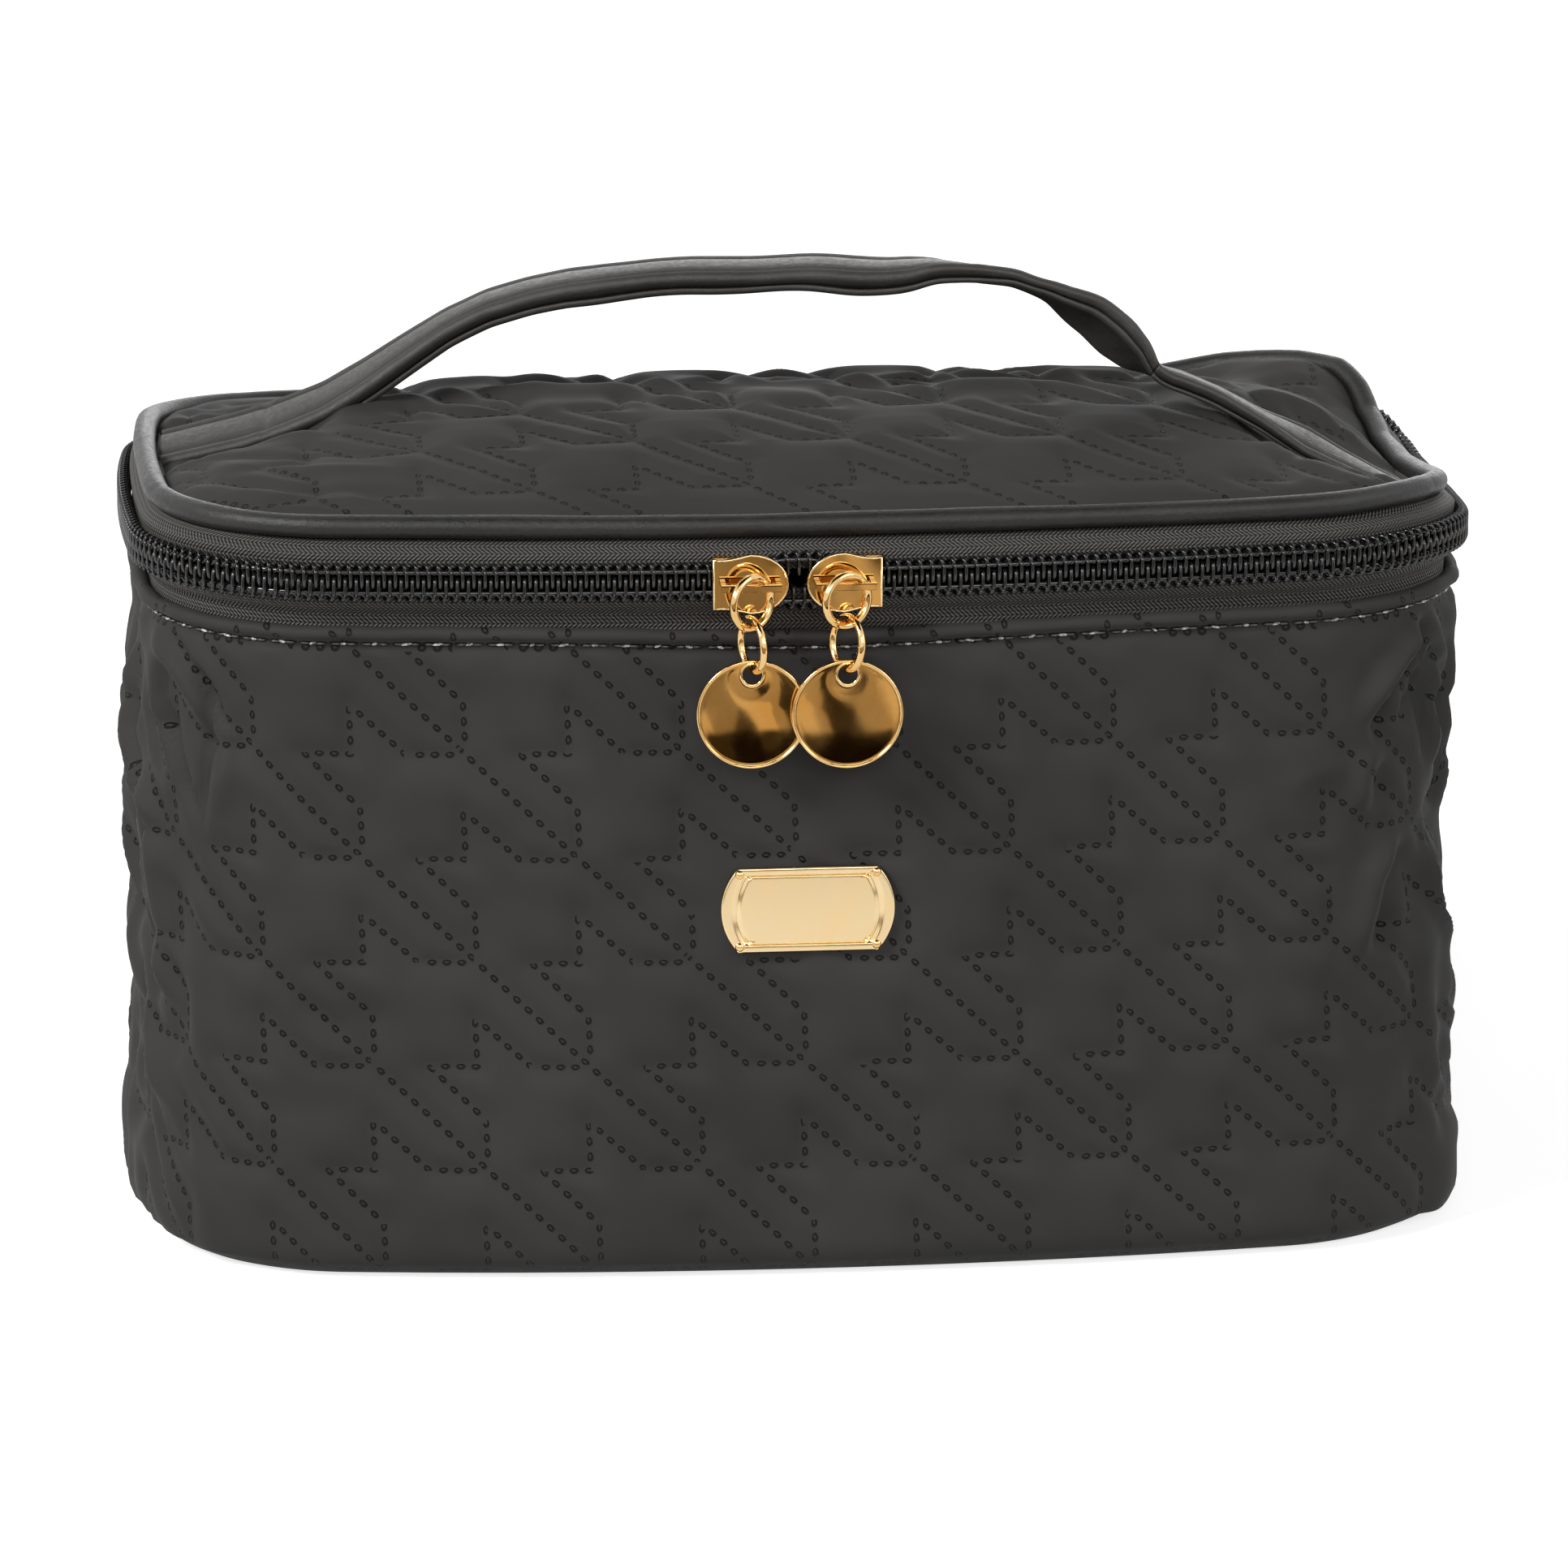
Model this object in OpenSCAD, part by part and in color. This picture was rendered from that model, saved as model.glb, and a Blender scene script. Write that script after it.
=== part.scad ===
// Zip-round vanity case in quilted faux leather, with a strap handle on a
// padded lid. Millimetres. Origin on the floor under the middle of the base,
// +X to the right along the front, +Y to the back, +Z up.
// Every wall, hem, tape and piping is one profile carried round the outline
// of the case. A profile is drawn in (offset, height): offset 0 is the outer
// face of the wall and positive offsets stand out from it.

/* [Case] */
// Width of the case over its side walls
body_w = 242; // [200:1:300]
// Depth of the case over its front and back walls
body_d = 140; // [110:1:180]
// Height of the folded hem at the top of the wall
hem_z = 125.2; // [90:0.1:170]
// Radius of the upright corners
corner_r = 38; // [28:1:50]
// Radius of the gentle bow of the front
front_bow_r = 680; // [400:10:2000]
// Radius of the gentle bow of the back
back_bow_r = 1600; // [800:50:4000]
// Radius of the slight bow of the two sides
side_bow_r = 400; // [250:10:1500]
// Outer radius of the turned bottom edge
base_edge_r = 7; // [4:0.5:10]

/* [Layers] */
// Thickness of the quilted faux leather
cover_t = 1.2; // [0.8:0.1:2]
// Thickness of the wall padding
foam_t = 3; // [2:0.1:5]
// Thickness of the lining cloth
lining_t = 0.8; // [0.5:0.1:1.2]
// Thickness of the stiffening board in the base
board_t = 2; // [1:0.1:3]
// Gap that glue or thread fills between two layers
layer_gap = 0.15; // [0.1:0.01:0.25]
// Width of the wall cover that is turned in under the base
turn_in = 12; // [9:0.5:18]
// Radius of the rolled hem
hem_roll_r = 1.3; // [1:0.1:1.6]

/* [Zip] */
// Height of the zip's parting line above the hem
zip_rise = 6.1; // [5.6:0.1:7]
// How far the middle of the coil stands out from the wall
zip_out = 1.8; // [1.6:0.1:2.4]
// Width of the closed coil, across both rows
coil_w = 7.3; // [6.8:0.1:7.6]
// Thickness of the coil
coil_t = 2.6; // [2.2:0.1:2.8]
// Distance from one tooth to the next in a row
tooth_pitch = 2; // [1.8:0.05:2.5]
// Width of one tooth along the zip
tooth_w = 0.74; // [0.6:0.02:0.8]
// How far a tooth reaches past the parting line
tooth_reach = 0.7; // [0.4:0.05:0.9]
// Thickness of the zip tape
tape_t = 0.6; // [0.4:0.05:0.7]
// How far each row is pushed aside where the sliders have opened the coil
row_spread = 1.9; // [1.5:0.05:2]

/* [Sliders] */
// Length of a slider
slider_l = 13.4; // [12:0.1:16]
// Half height of a slider's plate at its flat tail
slider_tail_h = 4.6; // [4.4:0.1:5]
// Half height of a slider's plate at its wings
slider_wing_h = 5.4; // [5:0.1:6]
// Thickness of a slider's plates
slider_plate_t = 1.1; // [0.8:0.05:1.4]
// Where the two sliders meet along the front
meet_x = -4.8; // [-20:0.1:20]
// Gap between the two sliders' noses
nose_gap = 3.4; // [1:0.1:8]
// Height of the bridge bar's middle above the slider's face
bridge_h = 3.25; // [3.1:0.05:4]
// Width of the bridge bar
bridge_w = 1.4; // [1.2:0.05:1.5]
// Thickness of the bridge bar
bridge_t = 1; // [0.8:0.05:1.1]
// Length of the bridge over its two legs
bridge_l = 10.8; // [10.4:0.1:11.4]

/* [Pulls] */
// Radius of the upper ring, to the middle of its wire
ring_r = 4.6; // [4.4:0.05:4.8]
// Thickness of the upper ring's wire
ring_wire = 1.5; // [1.3:0.05:1.5]
// Radius of the lower ring, to the middle of its wire
link_r = 4.7; // [4.5:0.05:5]
// Thickness of the lower ring's wire
link_wire = 1.4; // [1.2:0.05:1.5]
// Diameter of a coin
coin_d = 20; // [18:0.5:21]
// Thickness of a coin
coin_t = 1; // [0.8:0.05:1.1]
// Diameter of the hole in a coin
coin_hole_d = 3.5; // [3.3:0.1:4]
// Distance from a coin's middle to the middle of its hole
coin_hole_rise = 7.3; // [6.5:0.1:7.4]

/* [Badge] */
// Length of the bare name plate
badge_w = 31.6; // [24:0.2:40]
// Height of the bare name plate
badge_h = 15.8; // [12:0.2:20]
// Thickness of the name plate
badge_t = 1; // [0.8:0.05:1.5]
// Height of the plate's middle above the floor
badge_z = 70; // [50:1:90]
// Distance of the plate's middle from the middle of the front
badge_x = -2.6; // [-20:0.2:20]

/* [Lid] */
// Height of the piping's middle above the zip's parting line
piping_rise = 9.3; // [8.8:0.1:12]
// How far the middle of the piping stands in from the wall
piping_in = 2.2; // [1.8:0.1:3]
// Diameter of the piping
piping_d = 4.3; // [3.6:0.1:4.4]
// Diameter of the cord inside the piping
cord_d = 2.3; // [1.6:0.1:2.6]
// Thickness of the lid's padding at its middle
lid_foam_t = 1.8; // [1.2:0.1:4]

/* [Handle] */
// Width of the strap
strap_w = 16; // [12:0.5:22]
// Thickness of the strap
strap_t = 4; // [3:0.1:5]
// How far the strap's ends stop short of the body's sides
strap_inset = 7; // [5:0.5:25]
// Height of the arch over its ends
strap_rise = 31.4; // [26:0.5:60]
// Turn of the strap about the upright axis
strap_skew = -6; // [-8:0.5:8]
// Distance of the strap's middle in front of the case's middle
strap_front = 7; // [0:0.5:12]
// Length of each end of the strap that lies on the lid
strap_end_l = 26; // [22:0.5:34]

/* [Hidden] */

// Clearances
run_gap = 0.3;      // between pieces that move past each other
link_gap = 0.1;     // between two linked wires
bar_gap = 0.16;     // between the bridge bar and the ring that swings on it
hole_gap = 0.25;    // between a wire and the hole that hangs on it
slit_gap = 0.2;     // round a prong in its slit
skin = 0.02;        // how far a cutter passes the face that it cuts
chord_dip = 0.03;   // how far a straight step may cut inside a curve
seam_lap = 0.02;    // how far each swept cord runs into the next

// Fineness of round shapes
sweep_fn = 360;
wire_fn = 32;
rim_fn = 72;

// Colours
leather = "#3d3c3b";
satin_leather = "#454443";
tape_black = "#1c1c1c";
nylon_black = "#0e0e0f";
lining_black = "#232225";
gold = "#d9b45b";
pale_gold = "#e8cf8e";
foam_grey = "#8c8c8a";
board_grey = "#9a948a";
cord_white = "#d8d5cc";
steel = "#b5b8bb";

// ---- Outline of the case -------------------------------------------------
// Middle of a corner arc, in the quarter x > 0, y > 0, that runs smoothly
// into an end arc of radius end_r and into the side arc.
side_c = [-(side_bow_r - body_w / 2), 0];
function end_c(end_r) = [0, -(end_r - body_d / 2)];
function corner_c(end_r) =
    let (from = end_c(end_r), to = side_c, a = end_r - corner_r,
         b = side_bow_r - corner_r, d = norm(to - from), e = (to - from) / d,
         s = (a * a - b * b + d * d) / (2 * d), h = sqrt(a * a - s * s))
    from + s * e + h * [e[1], -e[0]];
function end_half(end_r) =
    let (v = corner_c(end_r) - end_c(end_r)) atan2(v[0], v[1]);
function side_half(end_r) =
    let (v = corner_c(end_r) - side_c) atan2(v[1], v[0]);

front_c = corner_c(front_bow_r);
back_c = corner_c(back_bow_r);
front_half = end_half(front_bow_r);
back_half = end_half(back_bow_r);
side_front = side_half(front_bow_r);
side_back = side_half(back_bow_r);

// The outline's arcs, turning left from the back left corner:
// [middle, radius, first angle, last angle]
ARCS = [
    [[-back_c[0], back_c[1]], corner_r, 90 + back_half, 180 - side_back],
    [-side_c, side_bow_r, 180 - side_back, 180 + side_front],
    [-front_c, corner_r, 180 + side_front, 270 - front_half],
    [-end_c(front_bow_r), front_bow_r, 270 - front_half, 270 + front_half],
    [[front_c[0], -front_c[1]], corner_r, 270 + front_half, 360 - side_front],
    [side_c, side_bow_r, 360 - side_front, 360 + side_back],
    [back_c, corner_r, 360 + side_back, 450 - back_half],
    [end_c(back_bow_r), back_bow_r, 450 - back_half, 450 + back_half]
];
ALL_ROUND = [0, len(ARCS) - 1];
ZIP_ARCS = [0, len(ARCS) - 2];
HINGE_ARC = [len(ARCS) - 1, len(ARCS) - 1];
front_mid = -end_c(front_bow_r);

// Revolves the profile about the middle of each arc from span[0] to span[1].
// Each stretch runs past its ends by past_l.
module band(span, past_l) {
    for (i = [span[0]:span[1]]) {
        arc = ARCS[i];
        past = past_l / arc[1] * 180 / PI;
        translate([arc[0][0], arc[0][1], 0])
            rotate([0, 0, arc[2] - past])
                rotate_extrude(angle = arc[3] - arc[2] + 2 * past, $fn = sweep_fn)
                    translate([arc[1], 0]) children();
    }
}

// Points along the outline, moved out by off. An open span ends in a point.
function on_arc(arc, angle, off) =
    arc[0] + (arc[1] + off) * [cos(angle), sin(angle)];
function steps_in(arc) =
    ceil((arc[3] - arc[2]) / (2 * acos(1 - chord_dip / arc[1])));
function outline(off, span) = concat(
    [for (i = [span[0]:span[1]])
        let (arc = ARCS[i], n = steps_in(arc))
            for (k = [0:n - 1])
                on_arc(arc, arc[2] + (arc[3] - arc[2]) * k / n, off)],
    span == ALL_ROUND ? [] : [on_arc(ARCS[span[1]], ARCS[span[1]][3], off)]);

// A flat layer inside the outline, from height z up.
module sheet(off, z, t) {
    translate([0, 0, z]) linear_extrude(t) polygon(outline(off, ALL_ROUND));
}

// Lofts a profile of (offset, height) points round the outline: one ring of
// points for each point of the profile, and quads between the rings.
function ring_points(profile, span) =
    [for (p = profile) for (q = outline(p[0], span)) [q[0], q[1], p[1]]];
function ring_quads(rings, m, closed_profile, all_round) =
    [for (j = [0:rings - (closed_profile ? 1 : 2)])
        for (k = [0:m - (all_round ? 1 : 2)])
            let (i = (j + 1) % rings, n = (k + 1) % m)
                [j * m + k, i * m + k, i * m + n, j * m + n]];

// A closed profile, all round the outline.
module ring_loft(profile) {
    m = len(outline(0, ALL_ROUND));
    polyhedron(ring_points(profile, ALL_ROUND),
               ring_quads(len(profile), m, true, true), convexity = 4);
}
// A profile from a flat bottom out and up to a flat top.
module dome_loft(profile) {
    m = len(outline(0, ALL_ROUND));
    top = (len(profile) - 1) * m;
    polyhedron(ring_points(profile, ALL_ROUND), concat(
        [[for (k = [0:m - 1]) k]], [[for (k = [m - 1:-1:0]) top + k]],
        ring_quads(len(profile), m, false, true)), convexity = 4);
}
// A strip of thickness t on the inner side of a line, along an open span.
module ribbon_loft(line, t, span) {
    profile = strip(line, t);
    m = len(outline(0, span));
    last = len(profile) - 1;
    ends = [for (i = [0:len(line) - 2]) [i, i + 1, last - i - 1, last - i]];
    polyhedron(ring_points(profile, span), concat(
        [for (e = ends) [for (i = [3:-1:0]) e[i] * m]],
        [for (e = ends) [for (i = [0:3]) e[i] * m + m - 1]],
        ring_quads(len(profile), m, true, false)), convexity = 4);
}

// The profile of a strip of even thickness t on the inner side of a line.
function strip(line, t) = concat(
    line, [for (i = [len(line) - 1:-1:0]) line[i] - strip_side(line, i) * t]);
function unit(v) = v / norm(v);
function right_of(v) = [v[1], -v[0]];
function strip_side(line, i) =
    let (last = len(line) - 1,
         a = right_of(unit(line[min(i + 1, last)] - line[min(i, last - 1)])),
         b = right_of(unit(line[max(i, 1)] - line[max(i - 1, 0)])))
    (a + b) / (1 + a * b);

// ---- Heights and offsets ---------------------------------------------------
zip_z = hem_z + zip_rise;
piping_z = zip_z + piping_rise;
piping_r = piping_d / 2;
hem_mid = [hem_roll_r - cover_t, hem_z - hem_roll_r];
foam_out = -cover_t - layer_gap;
foam_in = foam_out - foam_t;
lining_out = foam_in - layer_gap;

board_z = cover_t + layer_gap;
floor_z = board_z + board_t + layer_gap;
floor_top = floor_z + lining_t;
edge_clear = base_edge_r + 1;       // the turned edge's room inside the wall

tape_face = zip_out - coil_t / 2 - 0.1;      // outer face of the tape at the coil
tape_edge = 1.8;                    // from the parting line to the tape's edge
tape_sewn = foam_out;               // outer face of the tape under the hem
tape_seat = 12;                     // depth of tape sewn under the hem
foam_top = hem_z - tape_seat - 1.2;
lining_up_out = tape_sewn - tape_t - layer_gap;

slot_half = slider_tail_h + 0.3;    // straight tape on each side of the coil
seam_z = piping_z - piping_r - layer_gap;    // top of the upper tape's turn-in
seam_in = -7.5;                     // how far the lid's seam reaches in
lid_edge = -piping_in - piping_r - layer_gap;
rim_in = -20;                       // where the lid's padding is full
rim_z = piping_z - 0.6;             // underside of the lid cover at its edge
flat_z = seam_z + 0.8 + lid_foam_t + layer_gap;      // the same, at the middle
lid_top = flat_z + cover_t;
// Height of the lid's upper face where its padding thins towards the rim.
function lid_height(off) = rim_z + cover_t
    + (flat_z - rim_z) * (lid_edge - off) / (lid_edge - rim_in);
foam_z = seam_z + 0.7;
lining_z = seam_z - tape_t - layer_gap - lining_t;
skirt_out = -2.5;                   // outer face of the lid lining's skirt

// ---- Case ------------------------------------------------------------------
// Outer face of the wall, from the hem down and round the turned edge.
edge_steps = 6;
function turned_edge(r, t) =
    [for (k = [0:edge_steps])
        [-base_edge_r, base_edge_r] + (r - t) * [cos(90 * k / edge_steps),
                                                 -sin(90 * k / edge_steps)]];

module wall_profile() {
    outer = turned_edge(base_edge_r, 0);
    inner = turned_edge(base_edge_r, cover_t);
    polygon(concat(
        [[0, hem_mid[1]]], outer, [[-turn_in, 0], [-turn_in, cover_t]],
        [for (i = [edge_steps:-1:0]) inner[i]], [[-cover_t, hem_mid[1]]]));
    translate(hem_mid) circle(r = hem_roll_r, $fn = wire_fn);
}

module wall_cover() {
    color(leather) difference() {
        band(ALL_ROUND, 0) wall_profile();
        on_badge() prongs(slit_gap);
    }
}

module wall_foam() {
    color(foam_grey) difference() {
        ring_loft([[foam_out, edge_clear], [foam_out, foam_top],
                   [foam_in, foam_top - foam_t], [foam_in, edge_clear]]);
        on_badge() backing_pocket();
    }
}

module wall_lining() {
    bend_z = foam_top - foam_t - layer_gap;
    color(lining_black)
        ring_loft(strip([[lining_out, floor_top], [lining_out, bend_z],
                         [lining_up_out, foam_top + 2 * layer_gap],
                         [lining_up_out, hem_z - layer_gap]], lining_t));
}

module base_cover() {
    color(leather) sheet(-turn_in - layer_gap, 0, cover_t);
}

module base_board() {
    color(board_grey) sheet(-edge_clear, board_z, board_t);
}

module floor_lining() {
    color(lining_black) sheet(foam_in - layer_gap, floor_z, lining_t);
}

// Tape from under the hem out to the edge beside the coil.
module zip_tape_lower() {
    color(tape_black)
        ribbon_loft([[tape_sewn, hem_z - tape_seat], [tape_sewn, hem_z],
                     [tape_face, zip_z - slot_half],
                     [tape_face, zip_z - tape_edge]], tape_t, ZIP_ARCS);
}

// The hinge follows the same line as the two tapes, in one piece.
module hinge_strip() {
    color(leather) band(HINGE_ARC, -layer_gap) polygon(
        strip([[tape_sewn, hem_z - tape_seat], [tape_sewn, hem_z],
               [tape_face, zip_z - slot_half], [tape_face, zip_z + slot_half],
               [-piping_in, seam_z], [seam_in, seam_z]], tape_t));
}

// ---- Zip coil --------------------------------------------------------------
arc_len = [for (arc = ARCS)
    (arc[1] + zip_out) * (arc[3] - arc[2]) * PI / 180];
zip_len = sum_of(arc_len, ZIP_ARCS[1] + 1);
function sum_of(list, n) = n == 0 ? 0 : list[n - 1] + sum_of(list, n - 1);
function arc_at(s, i = 0) =
    (s <= arc_len[i] || i == ZIP_ARCS[1]) ? [i, s] : arc_at(s - arc_len[i], i + 1);
front_start = sum_of(arc_len, 3);
meet_s = front_start + arc_len[3] / 2 + meet_x;

// How far the rows are pushed aside at s along the zip: fully between the
// sliders, and back to nothing at the middle of each slider.
spread_full = nose_gap / 2;
spread_none = nose_gap / 2 + slider_l * 0.62;
function eased(t) = t * t * (3 - 2 * t);
function spread(s) =
    let (d = abs(s - meet_s),
         t = (spread_none - d) / (spread_none - spread_full))
    row_spread * eased(max(0, min(1, t)));

// The zip's line at s: which arc it is on, and at what angle.
function zip_arc(s) = ARCS[arc_at(s)[0]];
function zip_angle(s) =
    zip_arc(s)[2] + arc_at(s)[1] / (zip_arc(s)[1] + zip_out) * 180 / PI;
function zip_point(s, off) = on_arc(zip_arc(s), zip_angle(s), zip_out + off);

// Puts its children on the zip's line at s, with X along it and Y inward.
module on_zip(s) {
    p = zip_point(s, 0);
    translate([p[0], p[1], zip_z]) rotate([0, 0, zip_angle(s) + 90]) children();
}

// One turn of the coil, seen along the zip: from the sewn edge, over the
// top, to the rounded head that locks into the other row. dir is 1 for the
// upper row and -1 for the lower one.
module tooth(dir) {
    half_t = coil_t / 2;
    neck = half_t * 0.6;
    rotate([90, 0, 90]) linear_extrude(tooth_w, center = true)
        polygon([
            [-neck, dir * coil_w / 2], [-half_t, dir * (coil_w / 2 - 0.8)],
            [-half_t, -dir * (tooth_reach - 0.5)], [-neck, -dir * tooth_reach],
            [neck, -dir * tooth_reach], [half_t, -dir * (tooth_reach - 0.5)],
            [half_t, dir * (coil_w / 2 - 0.8)], [neck, dir * coil_w / 2]]);
}

// The filler cord that runs through the turns. Away from the sliders it is
// level, and beside them it follows the spread in steps of one tooth.
cord_h = 1.3;
cord_half_t = coil_t * 0.31;
module level_cord(from, to, dir) {
    n = round((to - from) / tooth_pitch);
    places = [for (k = [0:n]) from + (to - from) * k / n];
    translate([0, 0, zip_z + dir * (coil_w / 2 - cord_h) - cord_h / 2])
        linear_extrude(cord_h)
            polygon(concat(
                [for (s = places) zip_point(s, cord_half_t)],
                [for (k = [n:-1:0]) zip_point(places[k], -cord_half_t)]));
}
module cord_step(s, dir) {
    on_zip(s) translate([0, 0, dir * (coil_w / 2 - cord_h + spread(s))])
        cube([tooth_pitch + skin, 2 * cord_half_t, cord_h], center = true);
}

module coil_row(dir) {
    count = floor((zip_len - 2 * tooth_w) / tooth_pitch);
    first = tooth_w + (dir > 0 ? 0 : tooth_pitch / 2);
    places = [for (i = [0:count - 1]) first + i * tooth_pitch];
    for (s = places) on_zip(s) translate([0, 0, dir * spread(s)]) tooth(dir);
    opened = [for (s = places) if (spread(s) > 0) s];
    for (s = opened) cord_step(s, dir);
    level_cord(first - tooth_w / 2, opened[0] - tooth_pitch / 2, dir);
    level_cord(opened[len(opened) - 1] + tooth_pitch / 2,
               places[count - 1] + tooth_w / 2, dir);
}

module zip_coil_lower() { color(nylon_black) coil_row(-1); }
module zip_coil_upper() { color(nylon_black) coil_row(1); }

// ---- Badge -----------------------------------------------------------------
prong_w = 3;
prong_t = 0.6;
prong_x = 10;
backing_t = 0.8;
badge_seat = layer_gap;             // from the wall to the plate's back
prong_l = cover_t + badge_seat + layer_gap + backing_t;

// Puts its children on the front wall, X to the right, Y up, Z outwards.
module on_badge() {
    turn = asin(badge_x / front_bow_r);
    translate([front_mid[0], front_mid[1], badge_z]) rotate([0, 0, turn])
        translate([0, -front_bow_r, 0]) rotate([90, 0, 0]) children();
}

// Plate outline: straight top and bottom with bowed ends, made smaller by inset.
module badge_outline(inset) {
    half = [badge_w / 2 - inset, badge_h / 2 - inset];
    end_r = badge_h * 0.73 - inset;
    flat = half[0] - end_r;
    intersection() {
        square(2 * half, center = true);
        union() {
            square([2 * flat + skin, 2 * half[1]], center = true);
            for (side = [-1, 1]) translate([side * flat, 0])
                circle(r = end_r, $fn = rim_fn);
        }
    }
}

module prongs(gap) {
    for (side = [-1, 1])
        translate([side * prong_x, 0, badge_seat - prong_l / 2])
            cube([prong_w + 2 * gap, prong_t + 2 * gap, prong_l + 2 * gap],
                 center = true);
}

module badge_plate() {
    line_in = 1.9;
    line_w = 0.35;
    stud_r = 0.75;
    stud = [badge_w * 0.39, badge_h * 0.42];
    color(pale_gold) on_badge() {
        difference() {
            translate([0, 0, badge_seat]) linear_extrude(badge_t) badge_outline(0);
            translate([0, 0, badge_seat + badge_t - 0.25]) linear_extrude(1)
                difference() {
                    badge_outline(line_in);
                    badge_outline(line_in + line_w);
                }
        }
        prongs(0);
        for (x = [-1, 1], y = [-1, 1])
            translate([x * stud[0], y * stud[1], badge_seat + badge_t - 0.1])
                cylinder(r = stud_r, h = 0.5, $fn = wire_fn);
    }
}

backing_size = [2 * prong_x + 6, 8];
module badge_backing() {
    color(steel) on_badge() difference() {
        translate([0, 0, -cover_t - layer_gap - backing_t])
            linear_extrude(backing_t) square(backing_size, center = true);
        prongs(slit_gap);
    }
}

module backing_pocket() {
    depth = cover_t + 3 * layer_gap + backing_t;
    translate([0, 0, -depth / 2])
        cube([backing_size[0] + 1, backing_size[1] + 1, depth], center = true);
}

// ---- Lid -------------------------------------------------------------------
module lid_cover() {
    color(leather)
        dome_loft([[rim_in, flat_z], [lid_edge, rim_z],
                   [lid_edge, rim_z + cover_t], [rim_in, lid_top]]);
}

module lid_foam() {
    rim_foam_z = rim_z + (flat_z - rim_z) * (lid_edge - seam_in) / (lid_edge - rim_in);
    color(foam_grey)
        dome_loft([[seam_in - layer_gap, foam_z],
                   [seam_in - layer_gap, rim_foam_z - layer_gap],
                   [rim_in, flat_z - layer_gap]]);
}

// The lid's lining is a flat sheet with a skirt that is sewn to the tape.
module lid_lining() {
    skirt_z = zip_z + 2.7;
    color(lining_black)
        dome_loft([[skirt_out - lining_t, lining_z],
                   [skirt_out - lining_t, skirt_z], [skirt_out, skirt_z],
                   [skirt_out, lining_z + lining_t]]);
}

// Faux leather folded round the cord, with its seam allowance turned in.
module lid_piping() {
    color(satin_leather) band(ALL_ROUND, 0) {
        difference() {
            translate([-piping_in, piping_z]) circle(r = piping_r, $fn = wire_fn);
            translate([-piping_in, piping_z])
                circle(r = cord_d / 2 + layer_gap / 2, $fn = wire_fn);
        }
        polygon([[-piping_in - piping_r + 0.4, seam_z + layer_gap],
                 [-piping_in - piping_r + 0.4, seam_z + layer_gap + 0.5],
                 [seam_in, seam_z + layer_gap + 0.5], [seam_in, seam_z + layer_gap]]);
        polygon([[-piping_in - piping_r, piping_z - 0.6],
                 [-piping_in - piping_r + 0.8, piping_z - 0.6],
                 [-piping_in - piping_r + 1.2, seam_z + layer_gap],
                 [-piping_in - piping_r, seam_z + layer_gap]]);
    }
}

module lid_piping_cord() {
    color(cord_white) band(ALL_ROUND, seam_lap)
        translate([-piping_in, piping_z]) circle(r = cord_d / 2, $fn = wire_fn);
}

module zip_tape_upper() {
    color(tape_black)
        ribbon_loft([[tape_face, zip_z + tape_edge],
                     [tape_face, zip_z + slot_half], [-piping_in, seam_z],
                     [seam_in, seam_z]], tape_t, ZIP_ARCS);
}

// ---- Handle ----------------------------------------------------------------
strap_half = body_w / 2 - strap_inset;
split_x = strap_half - strap_end_l;
strap_seat = lid_height(-strap_inset) + run_gap + strap_t / 2;
arch_steps = 28;
// Height of the strap's middle line above its ends, x from the middle.
function arch(x) =
    strap_rise * (1 + cos(180 * pow(abs(x) / strap_half, 1.6))) / 2;
function arch_side(x) =
    let (d = 0.5, slope = (arch(x + d) - arch(x - d)) / (2 * d))
    unit([-slope, 1]);
function arch_line(from, to, steps, off) =
    [for (k = [0:steps])
        let (x = from + (to - from) * k / steps, n = arch_side(x),
             at_end = k == 0 || k == steps)
        [at_end ? x : x + n[0] * off,
         strap_seat + arch(x) + (at_end ? off / n[1] : off * n[1])]];

// A stretch of the strap between two places, seen from the front.
module strap_side_view(from, to, steps, t) {
    upper = arch_line(from, to, steps, t / 2);
    lower = arch_line(from, to, steps, -t / 2);
    polygon(concat(lower, [for (i = [steps:-1:0]) upper[i]]));
}

module on_strap(w) {
    translate([0, -strap_front, 0]) rotate([0, 0, strap_skew])
        rotate([90, 0, 0]) linear_extrude(w, center = true) children();
}

core_w = strap_w - 4;
core_t = strap_t - 2;
module handle_strap() {
    reach = split_x - run_gap / 2;
    color(satin_leather) difference() {
        on_strap(strap_w) strap_side_view(-reach, reach, arch_steps, strap_t);
        on_strap(core_w + 2 * layer_gap)
            strap_side_view(-reach + 2, reach - 2, arch_steps,
                            core_t + 2 * layer_gap);
    }
}

module handle_core() {
    reach = split_x - run_gap / 2 - 2 - layer_gap;
    color(foam_grey) on_strap(core_w)
        strap_side_view(-reach, reach, arch_steps, core_t);
}

module strap_end(side) {
    from = side * (split_x + run_gap / 2);
    color(satin_leather) on_strap(strap_w)
        strap_side_view(min(from, side * strap_half), max(from, side * strap_half),
                        6, strap_t);
}
module strap_end_left() { strap_end(-1); }
module strap_end_right() { strap_end(1); }

// ---- Sliders and pulls -------------------------------------------------------
channel_in = tape_face - tape_t - run_gap;          // inner face of the back plate
channel_out = zip_out + coil_t / 2 + run_gap;       // inner face of the front plate
face_out = channel_out + slider_plate_t;
bar_out = face_out + bridge_h;
slider_mid = (nose_gap + slider_l) / 2;

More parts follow.
